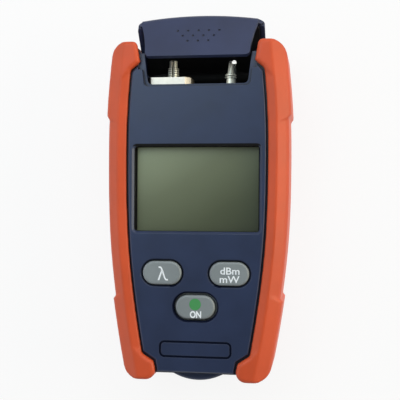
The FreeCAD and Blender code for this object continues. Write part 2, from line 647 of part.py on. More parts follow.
def right_bumper():
    """Rubber side guard: bevelled section along the side, hooked round both corners."""
    outline = plan_block(BUMPER_RAISED, -HALF_LENGTH, HALF_LENGTH, BUMPER_BACK, BUMPER_TOP,
                         BUMPER_BOTTOM_ROUND, BUMPER_TOP_ROUND)
    gap = between_hooks()
    hollow = gap.common(side_prism(BUMPER_GAP, 0.0, THICKNESS + 5.0))
    ring = outline.common(box(0.0, FAR, -FAR, FAR, 0.0, THICKNESS + 5.0)).cut(hollow)
    for y, reach, r in ((HALF_LENGTH, UPPER_HOOK[0][0], BUMPER_TIP_ROUND),
                        (-HALF_LENGTH, LOWER_HOOK[1][0], BUMPER_FOOT_ROUND)):
        ring = ring.makeFillet(r, upright_edges(ring, lambda px, py: abs(py - y) < 1e-4 and px < reach))
    ring = ring.makeChamfer(BUMPER_INNER_BEVEL, level_edges(ring, BUMPER_TOP))
    waist = bumper_roof(BUMPER_WAIST)
    raised = bumper_roof(BUMPER_RAISED)
    upper = raised.common(step_region(UPPER_STEP, FAR))
    lower = raised.common(step_region(LOWER_STEP, -FAR))
    roof = waist.multiFuse([upper, lower])
    guard = ring.common(roof).cut([bumper_seat(), gap.common(inner_slope())])
    return keep_largest(guard)


def bumper_seat():
    """What the bumper fits round: the casing under it and the bay that stays open."""
    seat = plan_block(CASE_OFFSET, -CASE_BOTTOM, CASE_TOP, REAR_LEDGE, LEDGE_Z,
                      CASE_BOTTOM_ROUND, CASE_TOP_ROUND)
    bay = box(-BAY_HALF, BAY_HALF, REAR_WALL_END, FAR, 0.0, LEDGE_Z)
    return seat.multiFuse([bay, heel(0, HEEL_LOW, HEEL_HIGH)])


def keep_largest(shape):
    """The biggest solid of a result."""
    solid = max(shape.Solids, key=lambda s: s.Volume)
    return solid.removeSplitter()


# ---- lid --------------------------------------------------------------------------------------
def rear_slope():
    """Lean of the lid's rear panel from upright: a tangent from its fold corner to the barrel."""
    across = LID_CORNER_Y - HINGE_Y
    up = THICKNESS - HINGE_Z
    reach = math.hypot(across, up)
    return math.atan2(across, up) - math.asin(BARREL_R / reach)


def lid_section(depth0, depth1, start_y, foot):
    """Folded strip between two depths under the lid's outer surface, in the plane X = 0."""
    lean = rear_slope()
    turn = math.pi / 2.0 + lean
    tangent = LID_FOLD_R * math.tan(turn / 2.0)
    centre = V(0, LID_CORNER_Y - tangent, THICKNESS - LID_FOLD_R)
    out = V(0, math.cos(lean), -math.sin(lean))
    down = V(0, -math.sin(lean), -math.cos(lean))
    drop = (centre.z + out.z * LID_FOLD_R - HINGE_Z + BARREL_R * math.sin(lean)) / math.cos(lean) - foot

    def path(depth):
        r = LID_FOLD_R - depth
        top = V(0, centre.y, THICKNESS - depth)
        middle = centre + V(0, math.sin(turn / 2.0), math.cos(turn / 2.0)) * r
        low = centre + out * r
        return V(0, start_y, THICKNESS - depth), top, middle, low, low + down * drop

    a = path(depth0)
    b = path(depth1)
    edges = [Part.makeLine(a[0], a[1]), Part.Arc(a[1], a[2], a[3]).toShape(), Part.makeLine(a[3], a[4]),
             Part.makeLine(a[4], b[4]), Part.makeLine(b[4], b[3]), Part.Arc(b[3], b[2], b[1]).toShape(),
             Part.makeLine(b[1], b[0]), Part.makeLine(b[0], a[0])]
    return Part.Face(Part.Wire(edges))


def crowned(section):
    """Sweep a lid section round the crown axis, so that the fold bows in plan."""
    half = CROWN_SWEEP * math.degrees(math.asin(LID_HALF / LID_CROWN_R))
    axis = V(0, LID_CORNER_Y - LID_CROWN_R, 0)
    section.rotate(axis, V(0, 0, 1), -half)
    return section.revolve(axis, V(0, 0, 1), 2.0 * half)


def lid_trim(inset, start_y):
    """Side edges of the lid: tapered front panel, flared fold and straight rear panel."""
    rise = (NOTCH_HIGH_HALF - NOTCH_LOW_HALF) / (HORN_TOP - NOTCH_FLOOR)
    low_half = NOTCH_LOW_HALF + REBATE - LID_GAP - inset
    right = [V(low_half, start_y, LID_FLARE_Z),
             V(low_half + rise * (LID_FRONT_TOP[1] - start_y) * 0.6, LID_FRONT_TOP[1] - 5.5, LID_FLARE_Z),
             V(LID_FRONT_TOP[0] - inset, LID_FRONT_TOP[1], LID_FLARE_Z),
             V(LID_HALF - inset, LID_FLARE_Y, LID_FLARE_Z), V(LID_HALF - inset, LID_CORNER_Y, LID_FLARE_Z)]
    left = [V(-p.x, p.y, LID_FLARE_Z) for p in reversed(right)]
    curves = []
    for points in (right[:3], left[2:]):
        spline = Part.BSplineCurve()
        spline.interpolate(points)
        curves.append(spline.toShape())
    outer = Part.makePolygon(right[2:] + left[:3])
    wire = Part.Wire([curves[0]] + outer.Edges + [curves[1], Part.makeLine(left[4], right[0])])
    front = Part.Face(wire).extrude(V(0, 0, THICKNESS))
    front = front.makeFillet(NOTCH_ROUND, upright_edges(front, lambda x, y: abs(y - start_y) < 1e-4))
    back = box(-LID_HALF + inset, LID_HALF - inset, 0.0, FAR, -THICKNESS, LID_FLARE_Z)
    hook_low = LEDGE_Z - LID_GAP
    side = LID_HALF - inset
    narrow = LID_FRONT_TOP[0] - inset + FIT_GAP
    outline = [(-side, -THICKNESS), (side, -THICKNESS), (side, LID_FLARE_Z), (narrow, hook_low),
               (narrow, 2.0 * THICKNESS), (-narrow, 2.0 * THICKNESS), (-narrow, hook_low), (-side, LID_FLARE_Z)]
    flare = Part.Face(Part.makePolygon([V(x, 0, z) for x, z in outline + outline[:1]])).extrude(V(0, FAR, 0))
    bends = [e for e in flare.Edges if e.BoundBox.YLength > 1.0
             and abs(e.BoundBox.Center.z - LID_FLARE_Z) < 1e-4]
    return front.fuse(back).common(flare.makeFillet(LID_FLARE_ROUND, bends))


def hinge_barrel():
    """Round bar along the lid's lower edge."""
    return Part.makeCylinder(BARREL_R, 2.0 * LID_HALF, V(-LID_HALF, HINGE_Y, HINGE_Z), V(1, 0, 0))


def port_lid():
    """Visor lid: a crowned, folded panel on a hinge barrel, with grip dimples."""
    start_y = NOTCH_FLOOR - REBATE + LID_GAP
    panel = crowned(lid_section(0.0, LID_WALL, start_y, 0.0)).common(lid_trim(0.0, start_y))
    bores = [Part.makeCylinder(PIN_R + PIN_RUNNING, PIN_IN + 1.0, V(side * LID_HALF, HINGE_Y, HINGE_Z),
                               V(-side, 0, 0)) for side in (-1, 1)]
    dimples = []
    for row, count in enumerate((5, 4, 3)):
        for i in range(count):
            x = (i - (count - 1) / 2.0) * DIMPLE_PITCH
            place = V(x, DIMPLE_TOP_Y - row * DIMPLE_ROW, THICKNESS + 0.1)
            dimples.append(Part.makeSphere(DIMPLE_R, place))
    lid = panel.fuse(hinge_barrel()).cut(bores + dimples)
    return turn_lid(max(lid.Solids, key=lambda s: s.Volume), LID_OPEN)


def lid_liner():
    """Soft dust seal bonded inside the lid."""
    start_y = NOTCH_FLOOR + LID_GAP + REBATE / 2.0
    section = lid_section(LID_WALL, LID_WALL + LINER_WALL, start_y, BARREL_R + FIT_GAP)
    lip = barrel_cover(BARREL_R, BARREL_R + LINER_LIP, LID_HALF - LINER_INSET, -LINER_WALL / 2.0)
    liner = crowned(section).common(lid_trim(LINER_INSET, start_y)).cut(hinge_barrel()).fuse(lip)
    return turn_lid(keep_largest(liner), LID_OPEN)


def barrel_cover(inner, outer, half, clear):
    """Strip round the inner side of the hinge barrel, that ends clear of the shut lid's inside."""
    ring = Part.makeCylinder(outer, 2.0 * half, V(-half, HINGE_Y, HINGE_Z), V(1, 0, 0))
    ring = ring.cut(Part.makeCylinder(inner, 2.0 * half, V(-half, HINGE_Y, HINGE_Z), V(1, 0, 0)))
    lean = rear_slope()
    reach = 3.0 * BARREL_R
    inside = HINGE_Y + (BARREL_R - LID_WALL - LINER_WALL - clear) / math.cos(lean)
    corners = [V(0, HINGE_Y - reach, HINGE_Z), V(0, HINGE_Y - reach, HINGE_Z + reach),
               V(0, inside + reach * math.tan(lean), HINGE_Z + reach), V(0, inside, HINGE_Z)]
    return ring.common(crowned(Part.Face(Part.makePolygon(corners + corners[:1]))))


def hinge_pins():
    """Two steel pins, fixed in the shoulders and running in the barrel."""
    pins = [Part.makeCylinder(PIN_R, PIN_IN + BAY_SIDE_GAP + PIN_OUT,
                              V(side * (LID_HALF - PIN_IN), HINGE_Y, HINGE_Z), V(side, 0, 0))
            for side in (-1, 1)]
    return Part.makeCompound(pins)


# ---- connector bay ----------------------------------------------------------------------------
def port_bulkhead():
    """Black moulding across the top of the hollow, which carries the optical fittings."""
    wall = interior(FIT_GAP).common(box(-FAR, FAR, BULKHEAD_FACE - BULKHEAD_WALL, BULKHEAD_FACE,
                                        CAVITY_LOW + FIT_GAP, CAVITY_TOP - FIT_GAP))
    side = BAY_HALF - FIT_GAP
    shelf = box(-side, side, BULKHEAD_FACE, REAR_WALL_END - FIT_GAP, CAVITY_LOW + FIT_GAP,
                CAVITY_LOW + FIT_GAP + BULKHEAD_WALL)
    holes = [rod(PORT_X, PORT_Z, CAN_R, BULKHEAD_FACE - BULKHEAD_WALL, BULKHEAD_FACE),
             rod(SPARE_X, PORT_Z, POST_R, BULKHEAD_FACE - BULKHEAD_WALL, BULKHEAD_FACE),
             rod(PIPE_X, PIPE_Z, PIPE_R, BULKHEAD_FACE - BULKHEAD_WALL, BULKHEAD_FACE)]
    holes += [rod(x, PORT_Z, SCREW_SMALL_R, BULKHEAD_FACE - BULKHEAD_WALL, BULKHEAD_FACE)
              for x in plate_screw_xs()]
    for x, y in screw_places(CASE_SCREWS[:1]):
        holes.append(post(x, y, BOSS_R + FIT_GAP, 0.0, THICKNESS))
    return wall.multiFuse([shelf, hinge_apron(side)]).cut(holes).removeSplitter()


def hinge_apron(half):
    """Curved strip that hides the hinge barrel, from the shelf up and over."""
    inner = BARREL_R + BARREL_GAP
    return barrel_cover(inner, inner + APRON_WALL, half, APRON_CLEAR)


def plate_screw_xs():
    """Places of the two screws in the adapter plate."""
    return (PLATE_X[0] + SCREW_SMALL_INSET, PLATE_X[1] - SCREW_SMALL_INSET)


def adapter_plate():
    """Nickel plate over the detector, chamfered along its edges."""
    half = PLATE_HEIGHT / 2.0
    plate = box(PLATE_X[0], PLATE_X[1], BULKHEAD_FACE, BULKHEAD_FACE + PLATE_THICK,
                PORT_Z - half, PORT_Z + half)
    for x, depth in zip(PLATE_X, PLATE_CHAMFERS):
        corners = [e for e in plate.Edges if abs(e.BoundBox.YLength - PLATE_THICK) < 1e-4
                   and abs(e.BoundBox.Center.x - x) < 1e-4]
        plate = plate.makeChamfer(depth, corners)
    top = BULKHEAD_FACE + PLATE_THICK
    holes = [rod(PORT_X, PORT_Z, SPIGOT_R, BULKHEAD_FACE, top)]
    for x in plate_screw_xs():
        holes.append(rod(x, PORT_Z, SCREW_SMALL_R, BULKHEAD_FACE, top))
        holes.append(rod(x, PORT_Z, 2.0 * SCREW_SMALL_R + FIT_GAP, top - SCREW_SMALL_HEAD, top))
    return plate.cut(holes)


def plate_screws():
    """Two small screws that hold the adapter plate."""
    top = BULKHEAD_FACE + PLATE_THICK
    screws = []
    for x in plate_screw_xs():
        low = top - SCREW_SMALL_HEAD
        head_r = 2.0 * SCREW_SMALL_R
        half = SCREW_SMALL_SLOT / 2.0
        head = rod(x, PORT_Z, head_r, low, top - FIT_GAP)
        slot = box(x - head_r, x + head_r, (low + top) / 2.0, top, PORT_Z - half, PORT_Z + half)
        shank = rod(x, PORT_Z, SCREW_SMALL_R, BULKHEAD_FACE - BULKHEAD_WALL, low)
        screws.append(head.cut(slot).fuse(shank).removeSplitter())
    return Part.makeCompound(screws)


def turned(x, z, profile):
    """Turned piece about an axis along Y, from (radius, y) points."""
    points = [V(x + r, y, z) for r, y in profile]
    face = Part.Face(Part.makePolygon(points + points[:1]))
    return face.revolve(V(x, 0, z), V(0, 1, 0), 360.0)


def detector_adapter():
    """Universal adapter for 2.5 mm ferrules: spigot, grooved sleeve and thin nose."""
    base = BULKHEAD_FACE + PLATE_THICK
    shoulder = base + SLEEVE_LENGTH
    tip = shoulder + NOSE_LENGTH
    foot = base - SPIGOT_LENGTH
    profile = [(FERRULE_R, foot), (SPIGOT_R, foot), (SPIGOT_R, base), (SLEEVE_R, base)]
    for i in range(3):
        y = base + SLEEVE_LENGTH * (0.45 + 0.2 * i)
        profile += [(SLEEVE_R, y), (SLEEVE_R - GROOVE_DEPTH, y), (SLEEVE_R - GROOVE_DEPTH, y + GROOVE_WIDTH),
                    (SLEEVE_R, y + GROOVE_WIDTH)]
    profile += [(SLEEVE_R, shoulder), (NOSE_R, shoulder), (NOSE_R, tip), (FERRULE_R, tip)]
    return turned(PORT_X, PORT_Z, profile)


def spare_adapter():
    """Universal adapter for 1.25 mm ferrules, parked on its post: two thin rings and a tapered nose."""
    base = BULKHEAD_FACE
    shoulder = base + SMALL_SLEEVE_LENGTH
    tip = shoulder + SMALL_NOSE_LENGTH
    profile = [(SMALL_BORE_R, base), (SMALL_SLEEVE_R, base)]
    for i in (3, 1):
        y = shoulder - (i + 1) * SMALL_RING_WIDTH
        profile += [(SMALL_SLEEVE_R, y), (SMALL_RING_R, y), (SMALL_RING_R, y + SMALL_RING_WIDTH),
                    (SMALL_SLEEVE_R, y + SMALL_RING_WIDTH)]
    profile += [(SMALL_SLEEVE_R, shoulder), (SMALL_NOSE_R, shoulder), (SMALL_TIP_R, tip), (SMALL_BORE_R, tip)]
    return turned(SPARE_X, PORT_Z, profile)


def storage_post():
    """Steel pin that holds the spare adapter, with a domed end."""
    low = BULKHEAD_FACE - BULKHEAD_WALL
    high = BULKHEAD_FACE + SMALL_SLEEVE_LENGTH + SMALL_NOSE_LENGTH + POST_TIP - POST_R
    pin = rod(SPARE_X, PORT_Z, POST_R, low, high)
    dome = Part.makeSphere(POST_R, V(SPARE_X, high, PORT_Z))
    return pin.multiFuse([dome, rod(SPARE_X, PORT_Z, 2.0 * POST_R, low - POST_R, low)]).removeSplitter()


def photodetector():
    """Photodiode in a can, seated in the bulkhead, with its legs on the board."""
    top = BULKHEAD_FACE - FIT_GAP
    can = rod(PORT_X, PORT_Z, CAN_R, top - CAN_LENGTH, top)
    low = BULKHEAD_FACE - BULKHEAD_WALL
    flange = rod(PORT_X, PORT_Z, CAN_FLANGE_R, low - CAN_FLANGE, low)
    body = can.fuse(flange)
    leg_z = BOARD_TOP + LEG_R
    for side in (-1, 1):
        body = body.fuse(rod(PORT_X + side * LEG_PITCH, leg_z, LEG_R, top - CAN_LENGTH - LEG_LENGTH,
                             top - CAN_LENGTH + 0.1))
    return body.removeSplitter()


def torch_light_guide():
    """Clear rod that carries the torch light through the bulkhead."""
    body = rod(PIPE_X, PIPE_Z, PIPE_R, BULKHEAD_FACE - BULKHEAD_WALL, PIPE_TIP - PIPE_R)
    return body.fuse(Part.makeSphere(PIPE_R, V(PIPE_X, PIPE_TIP - PIPE_R, PIPE_Z))).removeSplitter()


def torch_led():
    """Light-emitting diode on the board, under the light guide."""
    high = BULKHEAD_FACE - BULKHEAD_WALL - FIT_GAP
    body = rod(PIPE_X, PIPE_Z, TORCH_R, high - TORCH_LENGTH, high)
    low = box(PIPE_X - TORCH_R, PIPE_X + TORCH_R, high - TORCH_LENGTH - 1.5, high - TORCH_LENGTH,
              BOARD_TOP, PIPE_Z + TORCH_R)
    return body.fuse(low).removeSplitter()


# ---- display ----------------------------------------------------------------------------------
def display_window():
    """Clear lens behind the opening in the face."""
    grow = LENS_OVERLAP - FIT_GAP
    lens = box(-WINDOW_HALF - grow, WINDOW_HALF + grow, WINDOW_LOW - grow, WINDOW_HIGH + grow,
               LENS_TOP - LENS_THICK, LENS_TOP)
    return lens


def lcd_panel():
    """Liquid crystal panel: two bonded glasses, the lower one longer for its contacts."""
    upper = box(-WINDOW_HALF - LCD_OVERLAP, WINDOW_HALF + LCD_OVERLAP, WINDOW_LOW - LCD_OVERLAP,
                WINDOW_HIGH + LCD_OVERLAP / 2.0, LCD_TOP - LCD_THICK / 2.0, LCD_TOP)
    lower = box(-WINDOW_HALF - LCD_OVERLAP, WINDOW_HALF + LCD_OVERLAP, WINDOW_LOW - LCD_OVERLAP,
                WINDOW_HIGH + LCD_OVERLAP, LCD_TOP - LCD_THICK, LCD_TOP - LCD_THICK / 2.0)
    return upper.fuse(lower).removeSplitter()


def lcd_holder():
    """White frame and light box under the panel, standing on the board."""
    x = WINDOW_HALF + LCD_OVERLAP
    y0 = WINDOW_LOW - LCD_OVERLAP
    y1 = WINDOW_HIGH + LCD_OVERLAP
    seat = LCD_TOP - LCD_THICK
    rim = HOLDER_RIM + FIT_GAP
    body = box(-x - rim, x + rim, y0 - rim, y1 + rim, BOARD_TOP, seat + HOLDER_LIP)
    body = body.cut(box(-x - FIT_GAP, x + FIT_GAP, y0 - FIT_GAP, y1 + FIT_GAP, seat, seat + HOLDER_LIP))
    inner = box(-x + WALL, x - WALL, y0 + WALL, y1 - WALL, BOARD_TOP, seat - HOLDER_LIP)
    bosses = [post(px, py, BOARD_BOSS_R + FIT_GAP, BOARD_TOP, CAVITY_TOP)
              for px, py in screw_places(BOARD_SCREWS)]
    return body.cut([inner] + bosses)


# ---- keys -------------------------------------------------------------------------------------
def key_cap(x, y):
    """Rubber key: crowned cap, retaining flange and stem."""
    top = THICKNESS + KEY_PROUD
    flange_top = POCKET_TOP - FIT_GAP
    flange_low = flange_top - KEY_FLANGE_THICK
    cap = stadium(x, y, KEY_LENGTH, KEY_WIDTH, flange_low, top)
    cap = cap.makeFillet(KEY_DOME, level_edges(cap, top))
    flange = stadium(x, y, KEY_LENGTH + 2.0 * KEY_FLANGE, KEY_WIDTH + 2.0 * KEY_FLANGE, flange_low, flange_top)
    stem_low = BOARD_TOP + SWITCH_HEIGHT + FIT_GAP + MEMBRANE_THICK + MEMBRANE_BUMP + KEY_TRAVEL + FIT_GAP
    return cap.fuse([flange, post(x, y, KEY_STEM_R, stem_low, flange_low)]).removeSplitter()


def key_membrane():
    """Silicone sheet over the switches, with a bump under each key."""
    low = BOARD_TOP + SWITCH_HEIGHT
    high = low + FIT_GAP + MEMBRANE_THICK
    xs = [x for x, _ in KEY_PLACES.values()]
    ys = [y for _, y in KEY_PLACES.values()]
    reach = KEY_LENGTH / 2.0
    sheet = round_block(min(xs) - reach, max(xs) + reach, min(ys) - KEY_WIDTH / 2.0, max(ys) + KEY_WIDTH / 2.0,
                        low, high, 3.0)
    sheet = sheet.common(interior(BOARD_EDGE))
    bumps = [Part.makeCone(KEY_STEM_R + 0.5, KEY_STEM_R - 0.5, MEMBRANE_BUMP, V(x, y, high))
             for x, y in KEY_PLACES.values()]
    holes = [post(x, y, BOSS_R + BOARD_EDGE, 0.0, THICKNESS) for x, y in screw_places(CASE_SCREWS)]
    return sheet.multiFuse(bumps).cut(holes).removeSplitter()


def key_switches():
    """Three tactile switches on the board."""
    half = SWITCH_SIDE / 2.0
    switches = []
    for x, y in KEY_PLACES.values():
        body = box(x - half, x + half, y - half, y + half, BOARD_TOP, BOARD_TOP + SWITCH_HEIGHT * 0.7)
        plunger = post(x, y, half / 2.0, BOARD_TOP, BOARD_TOP + SWITCH_HEIGHT)
        switches.append(body.fuse(plunger).removeSplitter())
    return Part.makeCompound(switches)


# ---- board and screws -------------------------------------------------------------------------
def circuit_board():
    """Board that fills the casing's outline and hangs on the front cover's bosses."""
    board = interior(BOARD_EDGE).common(box(-FAR, FAR, BOARD_BOTTOM_Y, BOARD_TOP_Y, BOARD_LOW, BOARD_TOP))
    holes = [post(x, y, BOSS_R + BOARD_EDGE, 0.0, THICKNESS) for x, y in screw_places(CASE_SCREWS)]
    holes += [post(x, y, BOARD_SCREW_R, 0.0, THICKNESS) for x, y in screw_places(BOARD_SCREWS)]
    return board.cut(holes)


def screw(x, y, under_head, shank_r, shank_length, head_r, head_height):
    """Slotted screw driven upwards: its head hangs below the given height."""
    head = post(x, y, head_r, under_head - head_height, under_head)
    slot = box(x - head_r, x + head_r, y - SLOT_WIDTH / 2.0, y + SLOT_WIDTH / 2.0,
               under_head - head_height, under_head - head_height / 2.0)
    return head.cut(slot).fuse(post(x, y, shank_r, under_head, under_head + shank_length)).removeSplitter()


def case_screws():
    """Four screws that close the covers, from the back."""
    seat = HEAD_DEPTH + HEAD_HEIGHT
    length = BOSS_JOINT + SCREW_BITE - seat
    return Part.makeCompound([screw(x, y, seat, SCREW_R, length, HEAD_R, HEAD_HEIGHT)
                              for x, y in screw_places(CASE_SCREWS)])


def board_screws():
    """Four screws that hold the board to the front cover."""
    length = BOARD_THICK + BOARD_SCREW_BITE
    return Part.makeCompound([screw(x, y, BOARD_LOW, BOARD_SCREW_R, length, BOARD_HEAD_R, BOARD_HEAD)
                              for x, y in screw_places(BOARD_SCREWS)])


# ---- battery bay ------------------------------------------------------------------------------
def cell(side):
    """One AA cell. The left one points to +Y and the right one to -Y."""
    x = side * CELL_PITCH / 2.0
    if side < 0:
        low = BAY_LOW_Y + CONTACT_THICK + SPRING_LENGTH
        can = rod(x, CELL_Z, CELL_R, low, low + CELL_LENGTH)
        nub = rod(x, CELL_Z, NUB_R, low + CELL_LENGTH, low + CELL_LENGTH + NUB_LENGTH)
    else:
        high = BAY_TOP_Y - CONTACT_THICK - SPRING_LENGTH
        can = rod(x, CELL_Z, CELL_R, high - CELL_LENGTH, high)
        nub = rod(x, CELL_Z, NUB_R, high - CELL_LENGTH - NUB_LENGTH, high - CELL_LENGTH)
    rims = [e for e in can.Edges if e.BoundBox.YLength < 1e-6]
    return can.makeFillet(0.6, rims).fuse(nub).removeSplitter()


def contact_plates():
    """Spring-steel contacts: a bridge at the low end and two tabs at the high end."""
    half = CELL_R - 1.5
    low = box(-CELL_PITCH / 2.0 - half, CELL_PITCH / 2.0 + half, BAY_LOW_Y, BAY_LOW_Y + CONTACT_THICK,
              CELL_Z - half, CELL_Z + half)
    tabs = [box(side * CELL_PITCH / 2.0 - half, side * CELL_PITCH / 2.0 + half, BAY_TOP_Y - CONTACT_THICK,
                BAY_TOP_Y, CELL_Z - half, CELL_Z + half) for side in (-1, 1)]
    return Part.makeCompound([low] + tabs)


def spring(x, y, direction):
    """Bow spring with two flat feet, from a contact plate to a cell's flat end."""
    half = SPRING_SPAN / 2.0
    rise = SPRING_LENGTH - FIT_GAP
    outer = (half * half + rise * rise) / (2.0 * rise)
    inner = outer - CONTACT_THICK
    dip = outer - rise
    crown = Part.makeCylinder(outer, SPRING_WIDTH, V(-SPRING_WIDTH / 2.0, -dip, 0), V(1, 0, 0))
    hollow = Part.makeCylinder(inner, SPRING_WIDTH, V(-SPRING_WIDTH / 2.0, -dip, 0), V(1, 0, 0))
    bow = crown.cut(hollow).common(box(-FAR, FAR, 0.0, SPRING_LENGTH, -half, half))
    reach = half + SPRING_FOOT
    foot = box(-SPRING_WIDTH / 2.0, SPRING_WIDTH / 2.0, 0.0, CONTACT_THICK, half - CONTACT_THICK, reach)
    leaf = bow.multiFuse([foot, foot.mirror(V(0, 0, 0), V(0, 0, 1))]).removeSplitter()
    if direction < 0:
        leaf = leaf.mirror(V(0, 0, 0), V(0, 1, 0))
    leaf.translate(V(x, y, CELL_Z))
    return leaf


def cell_springs():
    """The two negative contacts, riveted flat to their plates."""
    left = spring(-CELL_PITCH / 2.0, BAY_LOW_Y + CONTACT_THICK, 1)
    right = spring(CELL_PITCH / 2.0, BAY_TOP_Y - CONTACT_THICK, -1)
    return Part.makeCompound([left, right])


def build():
    """Every sub-part by name."""
    guard = right_bumper()
    parts = {
        "front_cover": front_cover(),
        "rear_cover": rear_cover(),
        "right_bumper": guard,
        "left_bumper": mirror(guard),
        "port_lid": port_lid(),
        "lid_liner": lid_liner(),
        "hinge_pins": hinge_pins(),
        "port_bulkhead": port_bulkhead(),
        "adapter_plate": adapter_plate(),
        "plate_screws": plate_screws(),
        "detector_adapter": detector_adapter(),
        "photodetector": photodetector(),
        "spare_adapter": spare_adapter(),
        "storage_post": storage_post(),
        "torch_light_guide": torch_light_guide(),
        "torch_led": torch_led(),
        "display_window": display_window(),
        "lcd_panel": lcd_panel(),
        "lcd_holder": lcd_holder(),
        "key_membrane": key_membrane(),
        "key_switches": key_switches(),
        "circuit_board": circuit_board(),
        "case_screws": case_screws(),
        "board_screws": board_screws(),
        "battery_door": battery_door(),
        "left_cell": cell(-1),
        "right_cell": cell(1),
        "contact_plates": contact_plates(),
        "cell_springs": cell_springs(),
    }
    for name, (x, y) in KEY_PLACES.items():
        parts[name] = key_cap(x, y)
    return parts


os.makedirs("parts", exist_ok=True)
for node, shape in build().items():
    shape.exportStep("parts/" + node + ".step")
    print(node, len(shape.Solids), round(shape.Volume, 1), shape.isValid())
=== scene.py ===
"""Looks of a handheld optical power meter: finishes, soft guards, key marks, light and camera."""

import logging
import math
from dataclasses import dataclass, field
from enum import Enum
from typing import Callable, Dict, List, Optional, Sequence, Tuple

import bmesh
import bpy
from mathutils import Matrix, Quaternion, Vector


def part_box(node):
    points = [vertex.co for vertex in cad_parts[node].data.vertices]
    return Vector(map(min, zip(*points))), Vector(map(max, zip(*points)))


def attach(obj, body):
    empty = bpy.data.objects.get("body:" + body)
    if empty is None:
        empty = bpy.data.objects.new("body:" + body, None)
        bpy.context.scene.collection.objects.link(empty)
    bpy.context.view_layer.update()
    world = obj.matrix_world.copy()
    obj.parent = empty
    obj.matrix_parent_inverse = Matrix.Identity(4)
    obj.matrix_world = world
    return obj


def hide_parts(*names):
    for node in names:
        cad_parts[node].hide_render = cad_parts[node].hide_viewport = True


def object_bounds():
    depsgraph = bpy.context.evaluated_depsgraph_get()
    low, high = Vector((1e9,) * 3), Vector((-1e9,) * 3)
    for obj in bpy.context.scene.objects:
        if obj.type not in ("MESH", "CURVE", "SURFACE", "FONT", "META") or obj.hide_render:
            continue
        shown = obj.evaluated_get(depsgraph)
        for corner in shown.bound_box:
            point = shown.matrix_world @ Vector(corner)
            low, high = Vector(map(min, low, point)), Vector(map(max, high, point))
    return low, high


log = logging.getLogger("power_meter")

MM = 0.001
SLACK = 0.05 * MM           # how far the middle of a face may lie outside an area and still count
# Painted shade in gaps and grooves runs over this span of openness.
OPENNESS = (0.55, 0.93)     # how open a spot is where a crevice is darkest, and where it ends
WHITE = (1.0, 1.0, 1.0, 1.0)

Rgb = Tuple[float, float, float]
Rgba = Tuple[float, float, float, float]
Point = Tuple[float, float, float]
Pair = Tuple[float, float]
Socket = bpy.types.NodeSocket
Material = bpy.types.Material

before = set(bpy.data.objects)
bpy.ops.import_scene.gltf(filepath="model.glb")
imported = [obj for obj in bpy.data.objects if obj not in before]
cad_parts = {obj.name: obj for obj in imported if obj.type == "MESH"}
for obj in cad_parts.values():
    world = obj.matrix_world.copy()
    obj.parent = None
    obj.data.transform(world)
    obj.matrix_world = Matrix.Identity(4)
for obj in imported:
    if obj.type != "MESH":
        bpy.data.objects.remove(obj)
CAD_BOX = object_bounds()


# ---- small tools ------------------------------------------------------------------------------
def screen(colour: Rgb, share: float = 1.0) -> Rgba:
    """Turns a screen colour into the linear colour that a shader takes.

    Args:
        colour: red, green and blue from 0 to 255.
        share: by which the colour is darkened or lightened first.

    Returns:
        The linear colour with an alpha of 1.
    """
    linear = []
    for part in colour:
        level = min(255.0, part * share) / 255.0
        linear.append(level / 12.92 if level <= 0.04045 else ((level + 0.055) / 1.055) ** 2.4)
    return (linear[0], linear[1], linear[2], 1.0)


def middle(node: str) -> Vector:
    """Returns the centre of a CAD node's box."""
    low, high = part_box(node)
    return (Vector(low) + Vector(high)) / 2.0


@dataclass(frozen=True)
class Area:
    """A rectangle seen from above.

    Attributes:
        left: its lowest X.
        right: its highest X.
        lower: its lowest Y.
        upper: its highest Y.
    """

    left: float
    right: float
    lower: float
    upper: float

    @classmethod
    def under(cls, box: Tuple[Point, Point]) -> "Area":
        """Returns the area that a box covers."""
        low, high = box
        return cls(low[0], high[0], low[1], high[1])

    def grown(self, rim: float) -> "Area":
        """Returns the area with a rim added all round, or taken off where it is negative."""
        return Area(self.left - rim, self.right + rim, self.lower - rim, self.upper + rim)

    def holds(self, spot: Vector) -> bool:
        """Says whether a point lies over or under the area."""
        return self.left < spot.x < self.right and self.lower < spot.y < self.upper

    def corners(self, height: float) -> List[Point]:
        """Returns the four corners at a height, going round."""
        ends = ((self.left, self.lower), (self.right, self.lower),
                (self.right, self.upper), (self.left, self.upper))
        return [(x, y, height) for x, y in ends]


